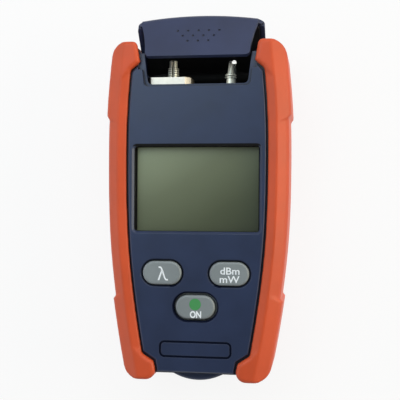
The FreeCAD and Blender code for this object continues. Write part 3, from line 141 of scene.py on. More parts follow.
class Tree:
    """A node tree, with short calls to add and join nodes."""

    def __init__(self, tree: bpy.types.NodeTree) -> None:
        """Takes a tree and empties it."""
        self.tree = tree
        self.tree.nodes.clear()

    def put(self, socket: Socket, value: object) -> None:
        """Gives an input socket its value.

        Args:
            socket: the input socket.
            value: a constant, or the output socket that it is joined to.
        """
        if isinstance(value, Socket):
            self.tree.links.new(value, socket)
        else:
            socket.default_value = value

    def fill(self, node: bpy.types.Node, **inputs: object) -> None:
        """Sets a node's inputs by name, with _ for a space, from values or output sockets."""
        for key, value in inputs.items():
            self.put(node.inputs[key.replace("_", " ")], value)

    def add(self, kind: str, settings: Optional[Dict[str, object]] = None,
            **inputs: object) -> bpy.types.Node:
        """Adds a node.

        Args:
            kind: the node's type without its ShaderNode prefix.
            settings: attributes to set on the node.
            inputs: values or output sockets by input name, with _ for a space.

        Returns:
            The new node.
        """
        made = self.tree.nodes.new("ShaderNode" + kind)
        for key, value in (settings or {}).items():
            setattr(made, key, value)
        self.fill(made, **inputs)
        return made

    def maths(self, operation: str, *values: object) -> Socket:
        """Works out a value from numbers or output sockets.

        Args:
            operation: the name of the calculation.
            values: what goes into it, in order.

        Returns:
            The result's socket.
        """
        made = self.add("Math", {"operation": operation})
        for socket, value in zip(made.inputs, values):
            self.put(socket, value)
        return made.outputs[0]

    def spread(self, value: Socket, low: object, high: object, span: Pair = (0.0, 1.0)) -> Socket:
        """Maps a span of a value on to a range.

        Args:
            value: the value's socket.
            low: number or socket at the start of the span.
            high: number or socket at the end of the span.
            span: where the value starts and ends.

        Returns:
            The mapped value's socket.
        """
        made = self.add("MapRange", Value=value, From_Min=span[0], From_Max=span[1], To_Min=low, To_Max=high)
        return made.outputs["Result"]


class Graph(Tree):
    """The node tree of a new material, round one surface shader."""

    def __init__(self, name: str) -> None:
        """Starts the material with its shader and its output.

        Args:
            name: the material's name.
        """
        self.material = bpy.data.materials.new(name)
        self.material.use_nodes = True
        super().__init__(self.material.node_tree)
        self.output = self.add("OutputMaterial")
        self.shader = self.add("BsdfPrincipled")
        self.put(self.output.inputs["Surface"], self.shader.outputs[0])
        self.place = self.add("TexCoord").outputs["Object"]

    def surface(self, **values: object) -> None:
        """Sets the surface shader's inputs from values or output sockets."""
        self.fill(self.shader, **values)

    def along(self, axis: str) -> Socket:
        """Returns a spot's place along an axis, in metres."""
        return self.add("SeparateXYZ", Vector=self.place).outputs[axis]

    def noise(self, scale: float, detail: float = 2.0, stretch: Point = (1.0, 1.0, 1.0)) -> Socket:
        """Adds noise on the piece's own coordinates.

        Args:
            scale: noise cells per metre.
            detail: octaves of the noise.
            stretch: scale along each axis.

        Returns:
            The noise's value socket.
        """
        place = self.add("Mapping", Vector=self.place, Scale=stretch).outputs["Vector"]
        return self.add("TexNoise", Vector=place, Scale=scale, Detail=detail).outputs["Fac"]

    def ramp(self, factor: Socket, stops: Sequence[Tuple[float, Rgba]]) -> Socket:
        """Maps a value to a colour.

        Args:
            factor: the value's socket.
            stops: pairs of a place from 0 to 1 and a linear colour.

        Returns:
            The ramp's colour socket.
        """
        made = self.add("ValToRGB", Fac=factor)
        ends = made.color_ramp.elements
        while len(ends) < len(stops):
            ends.new(0.5)
        for stop, (place, colour) in zip(ends, stops):
            stop.position = place
            stop.color = colour
        return made.outputs["Color"]

    def fade(self, factor: Socket, start: Rgba, end: Rgba, span: Pair) -> Socket:
        """Fades from one linear colour to another over a span of a value."""
        return self.ramp(factor, ((span[0], start), (span[1], end)))

    def crevice_shade(self, colour: Socket, reach: float, darkest: float) -> Socket:
        """Darkens a colour in grooves, gaps and dimples: painted shade where little light reaches.

        Args:
            colour: the colour's socket.
            reach: how wide a gap still counts, in metres.
            darkest: share of the colour left at the bottom of a narrow gap, in the painted shade.

        Returns:
            The darkened colour's socket.
        """
        # painted shade: ambient occlusion scales the colour down in narrow gaps
        open_sky = self.add("AmbientOcclusion", {"samples": 8}, Distance=reach).outputs["AO"]
        share = self.spread(open_sky, darkest, 1.0, OPENNESS)
        return self.add("VectorMath", {"operation": "SCALE"}, Vector=colour, Scale=share).outputs["Vector"]

    def bump(self, height: Socket, depth: float, rounding: float = 0.0) -> Socket:
        """Adds relief, over edges that look rounded.

        Args:
            height: the height's socket, from 0 to 1.
            depth: the relief's depth in metres.
            rounding: radius in metres that edges look rounded to.

        Returns:
            The normal's socket.
        """
        made = self.add("Bump", Height=height, Strength=1.0, Distance=depth)
        if rounding > 0.0:
            edge = self.add("Bevel", {"samples": 6}, Radius=rounding)
            self.put(made.inputs["Normal"], edge.outputs["Normal"])
        return made.outputs["Normal"]


# ---- finishes ---------------------------------------------------------------------------------
@dataclass(frozen=True)
class Finish:
    """What a piece is dressed in.

    Attributes:
        name: the material's name.
    """

    name: str

    def material(self) -> Material:
        """Returns the finish as a material."""
        raise NotImplementedError


@dataclass(frozen=True)
class Moulded(Finish):
    """Moulded plastic or rubber: a fine spark-eroded grain and a slight mottle.

    Attributes:
        colour: screen colour of the piece.
        mottle: share by which the colour varies.
        clouds: clouds of the mottle per metre.
        roughness: middle roughness.
        wear: how far the roughness varies to either side.
        grain: grains per metre.
        relief: depth of the grain in metres.
        rounding: radius that edges look rounded to.
        gloss: specular level.
        sheen: soft bloom of rubber.
        crevice_shade: width of gap that still gets painted shade, in metres, or 0.
        darkest: share of the colour left at the bottom of a narrow gap, in that painted shade.
    """

    colour: Rgb
    mottle: float = 0.06
    clouds: float = 70.0
    roughness: float = 0.5
    wear: float = 0.05
    grain: float = 2600.0
    relief: float = 0.00001
    rounding: float = 0.0003
    gloss: float = 0.5
    sheen: float = 0.0
    crevice_shade: float = 0.0
    darkest: float = 0.24

    def material(self) -> Material:
        """Builds the finish.

        Returns:
            The material.
        """
        graph = Graph(self.name)
        cloud = graph.noise(self.clouds, 3.0)
        fine = graph.noise(self.grain, 1.5)
        dark, light = screen(self.colour, 1.0 - self.mottle), screen(self.colour, 1.0 + self.mottle)
        colour = graph.fade(cloud, dark, light, (0.3, 0.7))
        # painted shade: gaps and grooves are darkened in the colour
        if self.crevice_shade > 0.0:
            colour = graph.crevice_shade(colour, self.crevice_shade, self.darkest)
        graph.surface(Base_Color=colour, Specular_IOR_Level=self.gloss,
                      Roughness=graph.spread(cloud, self.roughness - self.wear, self.roughness + self.wear),
                      Normal=graph.bump(fine, self.relief, self.rounding))
        if self.sheen > 0.0:
            graph.surface(Sheen_Weight=self.sheen, Sheen_Roughness=0.4)
        return graph.material


@dataclass(frozen=True)
class Metal(Finish):
    """Plated or bare metal with fine turning or drawing marks.

    Attributes:
        colour: screen colour of the metal.
        roughness: middle roughness.
        bare: how metallic the surface is, from a satin plating to bare metal.
        dull: share of the colour left where the metal is dull.
        clouds: dull clouds per metre.
        marks: stretch of the marks along each axis.
        fineness: marks per metre.
        relief: depth of the marks in metres.
        rounding: radius that edges look rounded to.
        groove: width of groove that still gets painted shade, in metres.
        darkest: share of the colour left at the bottom of a narrow groove, in that painted shade.
    """

    colour: Rgb
    roughness: float = 0.3
    bare: float = 1.0
    dull: float = 0.95
    clouds: float = 260.0
    marks: Point = (0.1, 1.0, 0.1)
    fineness: float = 6000.0
    relief: float = 0.000004
    rounding: float = 0.00012
    groove: float = 0.0005
    darkest: float = 0.12

    def material(self) -> Material:
        """Builds the finish.

        Returns:
            The material.
        """
        graph = Graph(self.name)
        lines = graph.noise(self.fineness, 2.0, self.marks)
        cloud = graph.noise(self.clouds, 3.0)
        tone = graph.fade(cloud, screen(self.colour, self.dull), screen(self.colour), (0.35, 0.6))
        # painted shade: grooves and joints are darkened in the colour
        graph.surface(Base_Color=graph.crevice_shade(tone, self.groove, self.darkest), Metallic=self.bare,
                      Roughness=graph.spread(cloud, self.roughness - 0.06, self.roughness + 0.08),
                      Normal=graph.bump(lines, self.relief, self.rounding))
        return graph.material


@dataclass(frozen=True)
class Clear(Finish):
    """Clear hard plastic that shows what lies under it, with a faint haze and wipe marks.

    Attributes:
        alpha: how much of the surface hides what is behind it.
        colour: screen colour of its own faint tint.
        roughness: middle roughness.
        haze: clouds of haze per metre.
        wipes: wipe marks per metre.
        dull: share of the tint left where the haze is thick.
    """

    alpha: float
    colour: Rgb
    roughness: float = 0.06
    haze: float = 180.0
    wipes: float = 900.0
    dull: float = 0.96

    def material(self) -> Material:
        """Builds the finish.

        Returns:
            The material.
        """
        graph = Graph(self.name)
        haze = graph.noise(self.haze, 3.0)
        wipe = graph.noise(self.wipes, 2.0, (1.0, 0.15, 1.0))
        tint = graph.fade(haze, screen(self.colour, self.dull), screen(self.colour), (0.3, 0.7))
        graph.surface(Base_Color=tint,
                      Roughness=graph.spread(wipe, self.roughness * 0.6, self.roughness * 1.5),
                      Alpha=self.alpha, IOR=1.46)
        return graph.material


@dataclass(frozen=True)
class PipeWithPaintedGlow(Finish):
    """Clear rod with a frosted white end whose glow is a painted highlight; the rod gives no light.

    Attributes:
        start: place along Y, in metres, where the frost begins.
        fade: length over which it thickens, in metres.
        alpha: how much the clear part hides what is behind it.
        colour: screen colour of the clear part.
        frost: screen colour of the end.
        glow: strength of the end's painted glow, which stands in for a highlight.
        scuffs: scuff marks per metre.
    """

    start: float
    fade: float = 0.0005
    alpha: float = 0.04
    colour: Rgb = (214, 218, 212)
    frost: Rgb = (255, 255, 253)
    glow: float = 0.8
    scuffs: float = 900.0

    def material(self) -> Material:
        """Builds the finish.

        Returns:
            The material.
        """
        graph = Graph(self.name)
        end = graph.spread(graph.along("Y"), 0.0, 1.0, (self.start, self.start + self.fade))
        scuff = graph.noise(self.scuffs, 2.0, (1.0, 0.2, 1.0))
        # painted highlight: the end glows white, though the rod is no lamp
        graph.surface(Base_Color=graph.fade(end, screen(self.colour), screen(self.frost), (0.0, 1.0)),
                      Roughness=graph.spread(scuff, 0.08, 0.2), IOR=1.49,
                      Alpha=graph.spread(end, self.alpha, 1.0),
                      Emission_Color=screen(self.frost),
                      Emission_Strength=graph.spread(end, 0.0, self.glow),
                      Normal=graph.bump(scuff, 0.000001))
        return graph.material


@dataclass(frozen=True)
class LiquidCrystal(Finish):
    """A switched-off reflective display: grey green with random clouds, and painted light and shade, lighter
    at the upper left and darker at the lower right.

    Attributes:
        node: the glass whose box the shading follows.
        stops: places and screen colours of the painted shading, from the lit corner to the shaded one.
        sideways: share of the painted light-to-dark gradient that goes across, with the rest going down.
        unevenness: how far clouds move the shading.
        clouds: those clouds per metre.
        grain: grains of the matt film per metre.
    """

    node: str
    stops: Tuple[Tuple[float, Rgb], ...]
    sideways: float = 0.46
    unevenness: float = 0.05
    clouds: float = 45.0
    grain: float = 5200.0

    def material(self) -> Material:
        """Builds the finish.

        Returns:
            The material.
        """
        graph = Graph(self.name)
        low, high = (Vector(corner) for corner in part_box(self.node))
        size = high - low
        place = graph.add("Mapping", Vector=graph.place, Location=(-low.x / size.x, -low.y / size.y, 0.0),
                          Scale=(1.0 / size.x, 1.0 / size.y, 0.0)).outputs["Vector"]
        parts = graph.add("SeparateXYZ", Vector=place).outputs
        # painted light and shade: lighter at the upper left, darker at the lower right
        across = graph.maths("MULTIPLY", parts["X"], self.sideways)
        down = graph.maths("SUBTRACT", 1.0, parts["Y"])
        painted_gradient = graph.maths("MULTIPLY_ADD", down, 1.0 - self.sideways, across)
        cloud = graph.spread(graph.noise(self.clouds, 3.0), -self.unevenness, self.unevenness)
        shade = graph.maths("ADD", painted_gradient, cloud)
        graph.surface(Base_Color=graph.ramp(shade, [(spot, screen(tint)) for spot, tint in self.stops]),
                      Roughness=0.32, Specular_IOR_Level=0.5,
                      Normal=graph.bump(graph.noise(self.grain, 1.0), 0.000002))
        return graph.material


@dataclass(frozen=True)
class Board(Finish):
    """Circuit board: solder mask over tracks, with the copper showing as a lighter green.

    Attributes:
        mask: screen colour of the bare mask.
        track: screen colour of the mask over copper.
        tracks: tracks per metre.
    """

    mask: Rgb = (22, 84, 52)
    track: Rgb = (40, 118, 70)
    tracks: float = 420.0

    def material(self) -> Material:
        """Builds the finish.

        Returns:
            The material.
        """
        graph = Graph(self.name)
        across = (self.tracks, self.tracks, 0.0)
        place = graph.add("Mapping", Vector=graph.place, Scale=across).outputs["Vector"]
        runs = graph.add("TexBrick", {"offset": 0.35, "squash": 1.6, "squash_frequency": 3}, Vector=place,
                         Scale=1.0, Mortar_Size=0.09, Mortar_Smooth=0.1, Brick_Width=2.2, Row_Height=0.55)
        copper = runs.outputs["Fac"]
        graph.surface(Base_Color=graph.fade(copper, screen(self.mask), screen(self.track), (0.2, 0.6)),
                      Roughness=0.28, Normal=graph.bump(copper, 0.00003))
        return graph.material


@dataclass(frozen=True)
class Jacket(Finish):
    """Plain printed sleeve of a cell: a dark body with a coloured band at its plus end.

    Attributes:
        body: screen colour of the long part.
        band: screen colour of the band.
        split: height along Y, in metres, where the colours meet.
        plus_up: whether the band lies towards +Y.
        scuffs: scuff marks per metre.
        grain: grains of the film per metre.
    """

    body: Rgb
    band: Rgb
    split: float
    plus_up: bool
    scuffs: float = 400.0
    grain: float = 1500.0

    def material(self) -> Material:
        """Builds the finish.

        Returns:
            The material.
        """
        graph = Graph(self.name)
        side = graph.maths("GREATER_THAN" if self.plus_up else "LESS_THAN", graph.along("Y"), self.split)
        wear = graph.noise(self.scuffs, 3.0)
        graph.surface(Base_Color=graph.fade(side, screen(self.body), screen(self.band), (0.4, 0.6)),
                      Roughness=graph.spread(wear, 0.2, 0.36), Metallic=0.35,
                      Normal=graph.bump(graph.noise(self.grain), 0.000004, 0.0002))
        return graph.material


@dataclass(frozen=True)
class Ink(Finish):
    """Printed mark: a thin dull film with faint flecks.

    Attributes:
        colour: screen colour of the print.
        flecks: flecks per metre.
        dull: share of the colour left in a fleck.
    """

    colour: Rgb
    flecks: float = 3200.0
    dull: float = 0.93

    def material(self) -> Material:
        """Builds the finish.

        Returns:
            The material.
        """
        graph = Graph(self.name)
        flecks = graph.noise(self.flecks, 2.0)
        tone = graph.fade(flecks, screen(self.colour, self.dull), screen(self.colour), (0.25, 0.6))
        graph.surface(Base_Color=tone, Roughness=0.55, Normal=graph.bump(flecks, 0.000003))
        return graph.material


class Slot(Enum):
    """Material slots of the record whose pieces share a finish."""

    CASING = "casing_blue"
    REAR_SHADED = "rear_blue"
    GUARD = "bumper_orange"
    LINER = "liner_black"
    BAY_BLACK_SHADE = "bay_black"
    NICKEL = "nickel"
    STEEL = "steel"
    LENS = "window_clear"
    GLASS = "lcd_glass"
    HOLDER = "holder_white"
    KEY = "key_grey"
    MEMBRANE = "membrane_grey"
    SWITCH = "switch_black"
    BOARD = "board_green"
    CONTACT = "contact_steel"
    GUIDE = "guide_clear"


class Paintbox:
    """Makes each material once and hands it out."""

    def __init__(self) -> None:
        """Starts with the finishes that nodes share."""
        self.made: Dict[str, Material] = {}
        self.finishes: Dict[Slot, Finish] = {
            # The casing, rear and key finishes darken their gaps and grooves as painted shade.
            Slot.CASING: Moulded("casing_blue", (30, 43, 73), roughness=0.4, gloss=0.46, crevice_shade=1.4 * MM),
            # Rear shell and battery door: the front's plastic, made darker than it partly as painted shade
            # for the bulge that lies in shade.
            Slot.REAR_SHADED: Moulded("rear_blue", (24, 32, 56), gloss=0.24, crevice_shade=1.4 * MM),
            Slot.GUARD: Moulded("guard_orange", (206, 81, 43), mottle=0.03, roughness=0.47, grain=1900.0,
                                relief=0.000012, rounding=0.0, gloss=0.34),
            # Black mouldings of the lid's pad and the port's bay: partly their own black, partly painted
            # shade for the deep unlit port and lid.
            Slot.LINER: Moulded("liner_black", (14, 14, 18), roughness=0.6, gloss=0.3),
            Slot.BAY_BLACK_SHADE: Moulded("bay_black", (11, 11, 13), roughness=0.6, gloss=0.2),
            Slot.NICKEL: Metal("nickel", (255, 253, 236), bare=0.38),
            Slot.STEEL: Metal("steel", (196, 196, 194)),
            Slot.LENS: Clear("lens", 0.03, (60, 64, 62)),
            # The display's colours run from a lit upper-left corner to a shaded lower-right one: painted
            # light and shade.
            Slot.GLASS: LiquidCrystal("display_glass_painted_shading", "lcd_panel", (
                (0.0, (157, 168, 137)), (0.4, (109, 117, 91)), (0.7, (80, 87, 64)), (1.0, (57, 63, 46)))),
            Slot.HOLDER: Moulded("holder_white", (226, 226, 220)),
            Slot.KEY: Moulded("key_grey", (129, 136, 139), mottle=0.03, roughness=0.44, grain=2200.0,
                              crevice_shade=0.5 * MM),
            Slot.MEMBRANE: Moulded("membrane", (150, 150, 150), roughness=0.35, sheen=0.1),
            Slot.SWITCH: Moulded("switch_black", (34, 34, 36), roughness=0.4),
            Slot.BOARD: Board("board"),
            Slot.CONTACT: Metal("contact", (204, 198, 186)),
            Slot.GUIDE: Clear("lamp_lens", 0.3, (226, 230, 226), roughness=0.08),
        }

    def get(self, slot: Slot) -> Material:
        """Returns the material of a shared finish."""
        return self.custom(self.finishes[slot])

    def custom(self, finish: Finish) -> Material:
        """Makes a finish's material at its first use.

        Args:
            finish: any finish.

        Returns:
            Its material, the same one each time.
        """
        if finish.name not in self.made:
            self.made[finish.name] = finish.material()
        return self.made[finish.name]


# ---- dressing and making pieces ---------------------------------------------------------------
def dress(piece: bpy.types.Object, material: Material) -> None:
    """Gives a whole piece one material.

    Args:
        piece: the piece.
        material: its material.
    """
    piece.data.materials.clear()
    piece.data.materials.append(material)
    for face in piece.data.polygons:
        face.material_index = 0


def dress_nodes(paint: Paintbox, nodes: Dict[str, Slot]) -> None:
    """Gives CAD nodes their shared finishes.

    Args:
        paint: where finishes come from.
        nodes: finish of each node.
    """
    for node, slot in nodes.items():
        dress(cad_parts[node], paint.get(slot))
        log.info("%s dressed as %s", node, slot.value)


def paint_faces(node: str, material: Material, wanted: Callable[[bpy.types.MeshPolygon], bool]) -> None:
    """Gives some faces of a CAD node a second finish.

    Args:
        node: the CAD node, already dressed.
        material: the second finish.
        wanted: says whether a face gets it.
    """
    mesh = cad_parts[node].data
    mesh.materials.append(material)
    second = len(mesh.materials) - 1
    for face in mesh.polygons:
        if wanted(face):
            face.material_index = second


def mesh_of(shape: bmesh.types.BMesh, name: str) -> bpy.types.Mesh:
    """Turns a finished shape into a mesh.

    Args:
        shape: the shape, freed afterwards.
        name: the mesh's name.

    Returns:
        The new mesh.
    """
    mesh = bpy.data.meshes.new(name)
    shape.to_mesh(mesh)
    shape.free()
    return mesh


def new_piece(name: str, mesh: bpy.types.Mesh, body: str, material: Material) -> bpy.types.Object:
    """Makes a finished piece from a mesh that is already in place.

    Args:
        name: the piece's name.
        mesh: its mesh, in metres in the frame.
        body: the CAD body that it rides on.
        material: what it is dressed in.

    Returns:
        The piece.
    """
    piece = bpy.data.objects.new(name, mesh)
    bpy.context.scene.collection.objects.link(piece)
    dress(piece, material)
    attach(piece, body)
    log.info("%s rides on %s, %d faces", name, body, len(mesh.polygons))
    return piece


# ---- sub-assemblies ---------------------------------------------------------------------------
@dataclass
class Shells:
    """Covers, lid, door, keys and board: CAD nodes that keep their shape and get their finish.

    Attributes:
        paint: where finishes come from.
        label_half: half width of the label's place, with its groove.
        label_span: from the guards' lower end to the lower and the upper side of the groove.
        label_depth: depth of the groove.
        seat_rim: how far the sunk seat of the middle key reaches beyond the key.
        seat_depth: at least the depth of that seat.
        nodes: finish of each node.
    """

    paint: Paintbox
    label_half: float = 14.5 * MM
    label_span: Pair = (9.2 * MM, 15.9 * MM)
    label_depth: float = 0.5 * MM
    seat_rim: float = 2.2 * MM
    seat_depth: float = 1.6 * MM
    nodes: Dict[str, Slot] = field(default_factory=lambda: {
        # rear cover and door: darker blue, partly painted shade
        "front_cover": Slot.CASING, "rear_cover": Slot.REAR_SHADED, "battery_door": Slot.REAR_SHADED,
        # the pad's and the bay's black is partly painted shade
        "lid_liner": Slot.LINER, "port_bulkhead": Slot.BAY_BLACK_SHADE, "lcd_holder": Slot.HOLDER,
        "key_membrane": Slot.MEMBRANE, "key_switches": Slot.SWITCH, "circuit_board": Slot.BOARD,
        "lambda_key": Slot.KEY, "unit_key": Slot.KEY, "function_key": Slot.KEY})

    def build(self) -> None:
        """Dresses every moulded node."""
        dress_nodes(self.paint, self.nodes)
        # painted shade darkens the lid's gaps and dimples
        lid = Moulded("lid_blue", (42, 50, 79), roughness=0.45, gloss=0.34, crevice_shade=1.4 * MM)
        dress(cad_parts["port_lid"], self.paint.custom(lid))
        self.paint_groove_shade()

    def paint_groove_shade(self) -> None:
        """Darkens the groove round the label's place and the sunk seat of the middle key, as painted shade.
        """
        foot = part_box("left_bumper")[0][1]
        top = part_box("front_cover")[1][2] - SLACK
        lower, upper = (foot + place for place in self.label_span)
        label = Area(-self.label_half, self.label_half, lower, upper).grown(SLACK)
        seat = Area.under(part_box("function_key")).grown(self.seat_rim + SLACK)
        sunk = ((label, self.label_depth), (seat, self.seat_depth))

        def is_sunk(face: bpy.types.MeshPolygon) -> bool:
            """Says whether a face lies in one of the sunk places."""
            spot = face.center
            return any(area.holds(spot) and top - depth - SLACK < spot.z < top for area, depth in sunk)

        # painted shade: near-black blue on the sunk faces of the groove and the seat, where shade falls
        groove = Moulded("groove_painted_shade", (12, 19, 40), roughness=0.7, gloss=0.06)
        paint_faces("front_cover", self.paint.custom(groove), is_sunk)


@dataclass
class Metalwork:
    """Fittings, pins, screws and contacts: CAD nodes that keep their shape and get their finish.

    Attributes:
        paint: where finishes come from.
        nodes: finish of each node.
    """

    paint: Paintbox
    nodes: Dict[str, Slot] = field(default_factory=lambda: {
        "spare_adapter": Slot.NICKEL, "photodetector": Slot.NICKEL, "storage_post": Slot.STEEL,
        "hinge_pins": Slot.STEEL, "plate_screws": Slot.STEEL, "case_screws": Slot.STEEL,
        "board_screws": Slot.STEEL, "contact_plates": Slot.CONTACT, "cell_springs": Slot.CONTACT})

    def build(self) -> None:
        """Dresses every metal node."""
        dress_nodes(self.paint, self.nodes)
        plate = Metal("plate_nickel", (224, 215, 202), roughness=0.34, bare=0.6)
        dress(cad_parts["adapter_plate"], self.paint.custom(plate))


@dataclass
class SplitSleeve:
    """Split sleeve of the detector port: turned, grooved, with a slot along its upper side.

    Attributes:
        paint: where finishes come from.
        bore: radius of the bore.
        nose: radius of the thin nose.
        nose_length: length of the nose.
        spigot: radius of the part inside the plate.
        slot: width of the slot.
        grooves: places of the grooves, from the shoulder down.
        groove_width: width of a groove.
        groove_depth: depth of a groove.
        rim: size of the broken edges.
        steps: facets round the sleeve.
        crease: angle in degrees at which an edge stays sharp.
    """

    paint: Paintbox
    bore: float = 1.25 * MM
    nose: float = 1.65 * MM
    nose_length: float = 3.0 * MM
    spigot: float = 2.0 * MM
    slot: float = 0.75 * MM
    grooves: Tuple[float, ...] = (0.45 * MM, 1.35 * MM, 2.25 * MM, 3.15 * MM)
    groove_width: float = 0.28 * MM
    groove_depth: float = 0.16 * MM
    rim: float = 0.12 * MM
    steps: int = 96
    crease: float = 30.0

    def outline(self) -> List[Point]:
        """Works out the section of the sleeve, from the foot to the tip.

        Returns:
            Its corners, each as radius, place along the axis and 0.
        """
        low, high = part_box("detector_adapter")
        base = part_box("adapter_plate")[1][1]
        outer = (high[0] - low[0]) / 2.0
        shoulder = high[1] - self.nose_length
        section = [(self.bore, low[1]), (self.spigot, low[1]), (self.spigot, base), (outer, base)]
        for down in sorted(self.grooves, reverse=True):
            floor = outer - self.groove_depth
            upper = shoulder - down
            lower = upper - self.groove_width
            section += [(outer, lower), (floor, lower), (floor, upper), (outer, upper)]
        section += [(outer, shoulder - self.rim), (outer - self.rim, shoulder), (self.nose, shoulder),
                    (self.nose, high[1] - self.rim), (self.nose - self.rim, high[1]), (self.bore, high[1])]
        return [(radius, along, 0.0) for radius, along in section]

    def build(self) -> bpy.types.Object:
        """Turns the section round the port's axis, all but the slot.

        Returns:
            The sleeve.
        """
        shape = bmesh.new()
        half_slot = math.asin(self.slot / 2.0 / self.spigot)
        face = shape.faces.new([shape.verts.new(point) for point in self.outline()])
        start = Matrix.Rotation(half_slot - math.pi / 2.0, 3, "Y")
        bmesh.ops.rotate(shape, verts=face.verts, cent=(0.0, 0.0, 0.0), matrix=start)
        bmesh.ops.spin(shape, geom=[face] + list(face.edges) + list(face.verts), cent=(0.0, 0.0, 0.0),
                       axis=(0.0, 1.0, 0.0), angle=2.0 * (math.pi - half_slot), steps=self.steps,
                       use_duplicate=False)
        axis = middle("detector_adapter")
        bmesh.ops.translate(shape, verts=shape.verts, vec=(axis.x, 0.0, axis.z))
        bmesh.ops.recalc_face_normals(shape, faces=shape.faces)
        mesh = mesh_of(shape, "split_sleeve")
        piece = new_piece("split_sleeve", mesh, "casing", self.paint.get(Slot.NICKEL))
        mesh.shade_smooth()
        mesh.set_sharp_from_angle(angle=math.radians(self.crease))
        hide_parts("detector_adapter")
        return piece


@dataclass
class Optics:
    """Display and torch: lens, glass, black mask, clear rod and lamp.

    Attributes:
        paint: where finishes come from.
        lap: how far the lens reaches under the case round the window.
        film: thickness of the mask.
        margin: from the edge of the lens to the edge of the mask.
        mask: widths of the mask that show at the left, right, lower and upper edge; they also take in shade
            there.
        bevel: at most the width of the bevel round the window.
        slope: least share of a face's normal that counts as turned towards a direction.
        frost: length of the rod's white end.
    """

    paint: Paintbox
    lap: float = 1.9 * MM
    film: float = 0.02 * MM
    margin: float = 0.2 * MM
    mask: Tuple[float, float, float, float] = (0.5 * MM, 0.7 * MM, 0.05 * MM, 0.3 * MM)
    bevel: float = 1.2 * MM
    slope: float = 0.3
    frost: float = 1.5 * MM

    def build(self) -> None:
        """Dresses the see-through pieces and the display glass, adds the mask and paints black shade on the
        window's edges.
        """
        dress_nodes(self.paint, {"display_window": Slot.LENS, "lcd_panel": Slot.GLASS,
                                 "torch_led": Slot.GUIDE})
        # painted highlight: the rod's white end glows
        pipe = PipeWithPaintedGlow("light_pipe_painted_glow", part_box("torch_light_guide")[1][1] - self.frost)
        dress(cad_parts["torch_light_guide"], self.paint.custom(pipe))
        self.display_mask()
        self.paint_reveal_shade()

    def opening(self, lens: Tuple[Point, Point]) -> Area:
        """Returns the window's opening in the case, from the lens's box."""
        return Area.under(lens).grown(-self.lap)

    def display_mask(self) -> bpy.types.Object:
        """Lays the black frame under the lens, over the edges of the glass: partly a printed frame, partly
        painted shade at the window's edges.

        Returns:
            The mask.
        """
        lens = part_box("display_window")
        height = (lens[0][2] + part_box("lcd_panel")[1][2]) / 2.0
        window = self.opening(lens)
        left, right, lower, upper = self.mask
        hole = Area(window.left + left, window.right - right, window.lower + lower, window.upper - upper)
        corners = Area.under(lens).grown(-self.margin).corners(height)
        across, along = (1, 0, 0), (0, 1, 0)
        cuts = ((hole.left, across), (hole.right, across), (hole.lower, along), (hole.upper, along))
        shape = bmesh.new()
        shape.faces.new([shape.verts.new(corner) for corner in corners])
        for place, way in cuts:
            bmesh.ops.bisect_plane(shape, geom=list(shape.faces) + list(shape.edges) + list(shape.verts),
                                   plane_co=Vector(way) * place, plane_no=way)
        inside = [face for face in shape.faces if hole.holds(face.calc_center_median())]
        bmesh.ops.delete(shape, geom=inside, context="FACES")
        bmesh.ops.solidify(shape, geom=list(shape.faces), thickness=self.film)
        bmesh.ops.recalc_face_normals(shape, faces=shape.faces)
        mesh = mesh_of(shape, "display_mask")
        return new_piece("display_mask", mesh, "casing", self.paint.get(Slot.BAY_BLACK_SHADE))

    def paint_reveal_shade(self) -> None:
        """Gives the upright sides of the window's opening, and its upper bevel, black as painted shade."""
        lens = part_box("display_window")
        window = self.opening(lens)
        reveal = window.grown(SLACK)
        above = Area(window.left - self.bevel, window.right + self.bevel,
                     window.upper - SLACK, window.upper + self.bevel)

        def is_shaded_black(face: bpy.types.MeshPolygon) -> bool:
            """Tells the upright sides and the upper bevel from the rest.

            Args:
                face: a face of the case.

            Returns:
                True for a face that gets black as painted shade.
            """
            upright = reveal.holds(face.center) and abs(face.normal.z) < self.slope
            outside = face.center.z > lens[1][2] and face.normal.y < -self.slope
            return upright or (above.holds(face.center) and outside)

        # painted shade: black on the window's inner sides and upper bevel
        paint_faces("front_cover", self.paint.get(Slot.BAY_BLACK_SHADE), is_shaded_black)


@dataclass
class Cells:
    """The two cells, which lie in opposite directions.

    Attributes:
        paint: where finishes come from.
        body: screen colour of a sleeve.
        band: screen colour of its band.
        band_share: length of the band as a share of the cell.
    """

    paint: Paintbox
    body: Rgb = (46, 48, 54)
    band: Rgb = (176, 118, 62)
    band_share: float = 0.28

    def build(self) -> None:
        """Gives each cell its sleeve."""
        for node, plus_up in (("left_cell", True), ("right_cell", False)):
            low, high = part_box(node)
            reach = (high[1] - low[1]) * self.band_share
            split = high[1] - reach if plus_up else low[1] + reach
            finish = Jacket(node + "_sleeve", self.body, self.band, split, plus_up)
            dress(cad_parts[node], self.paint.custom(finish))
            log.info("%s dressed in a plain sleeve", node)


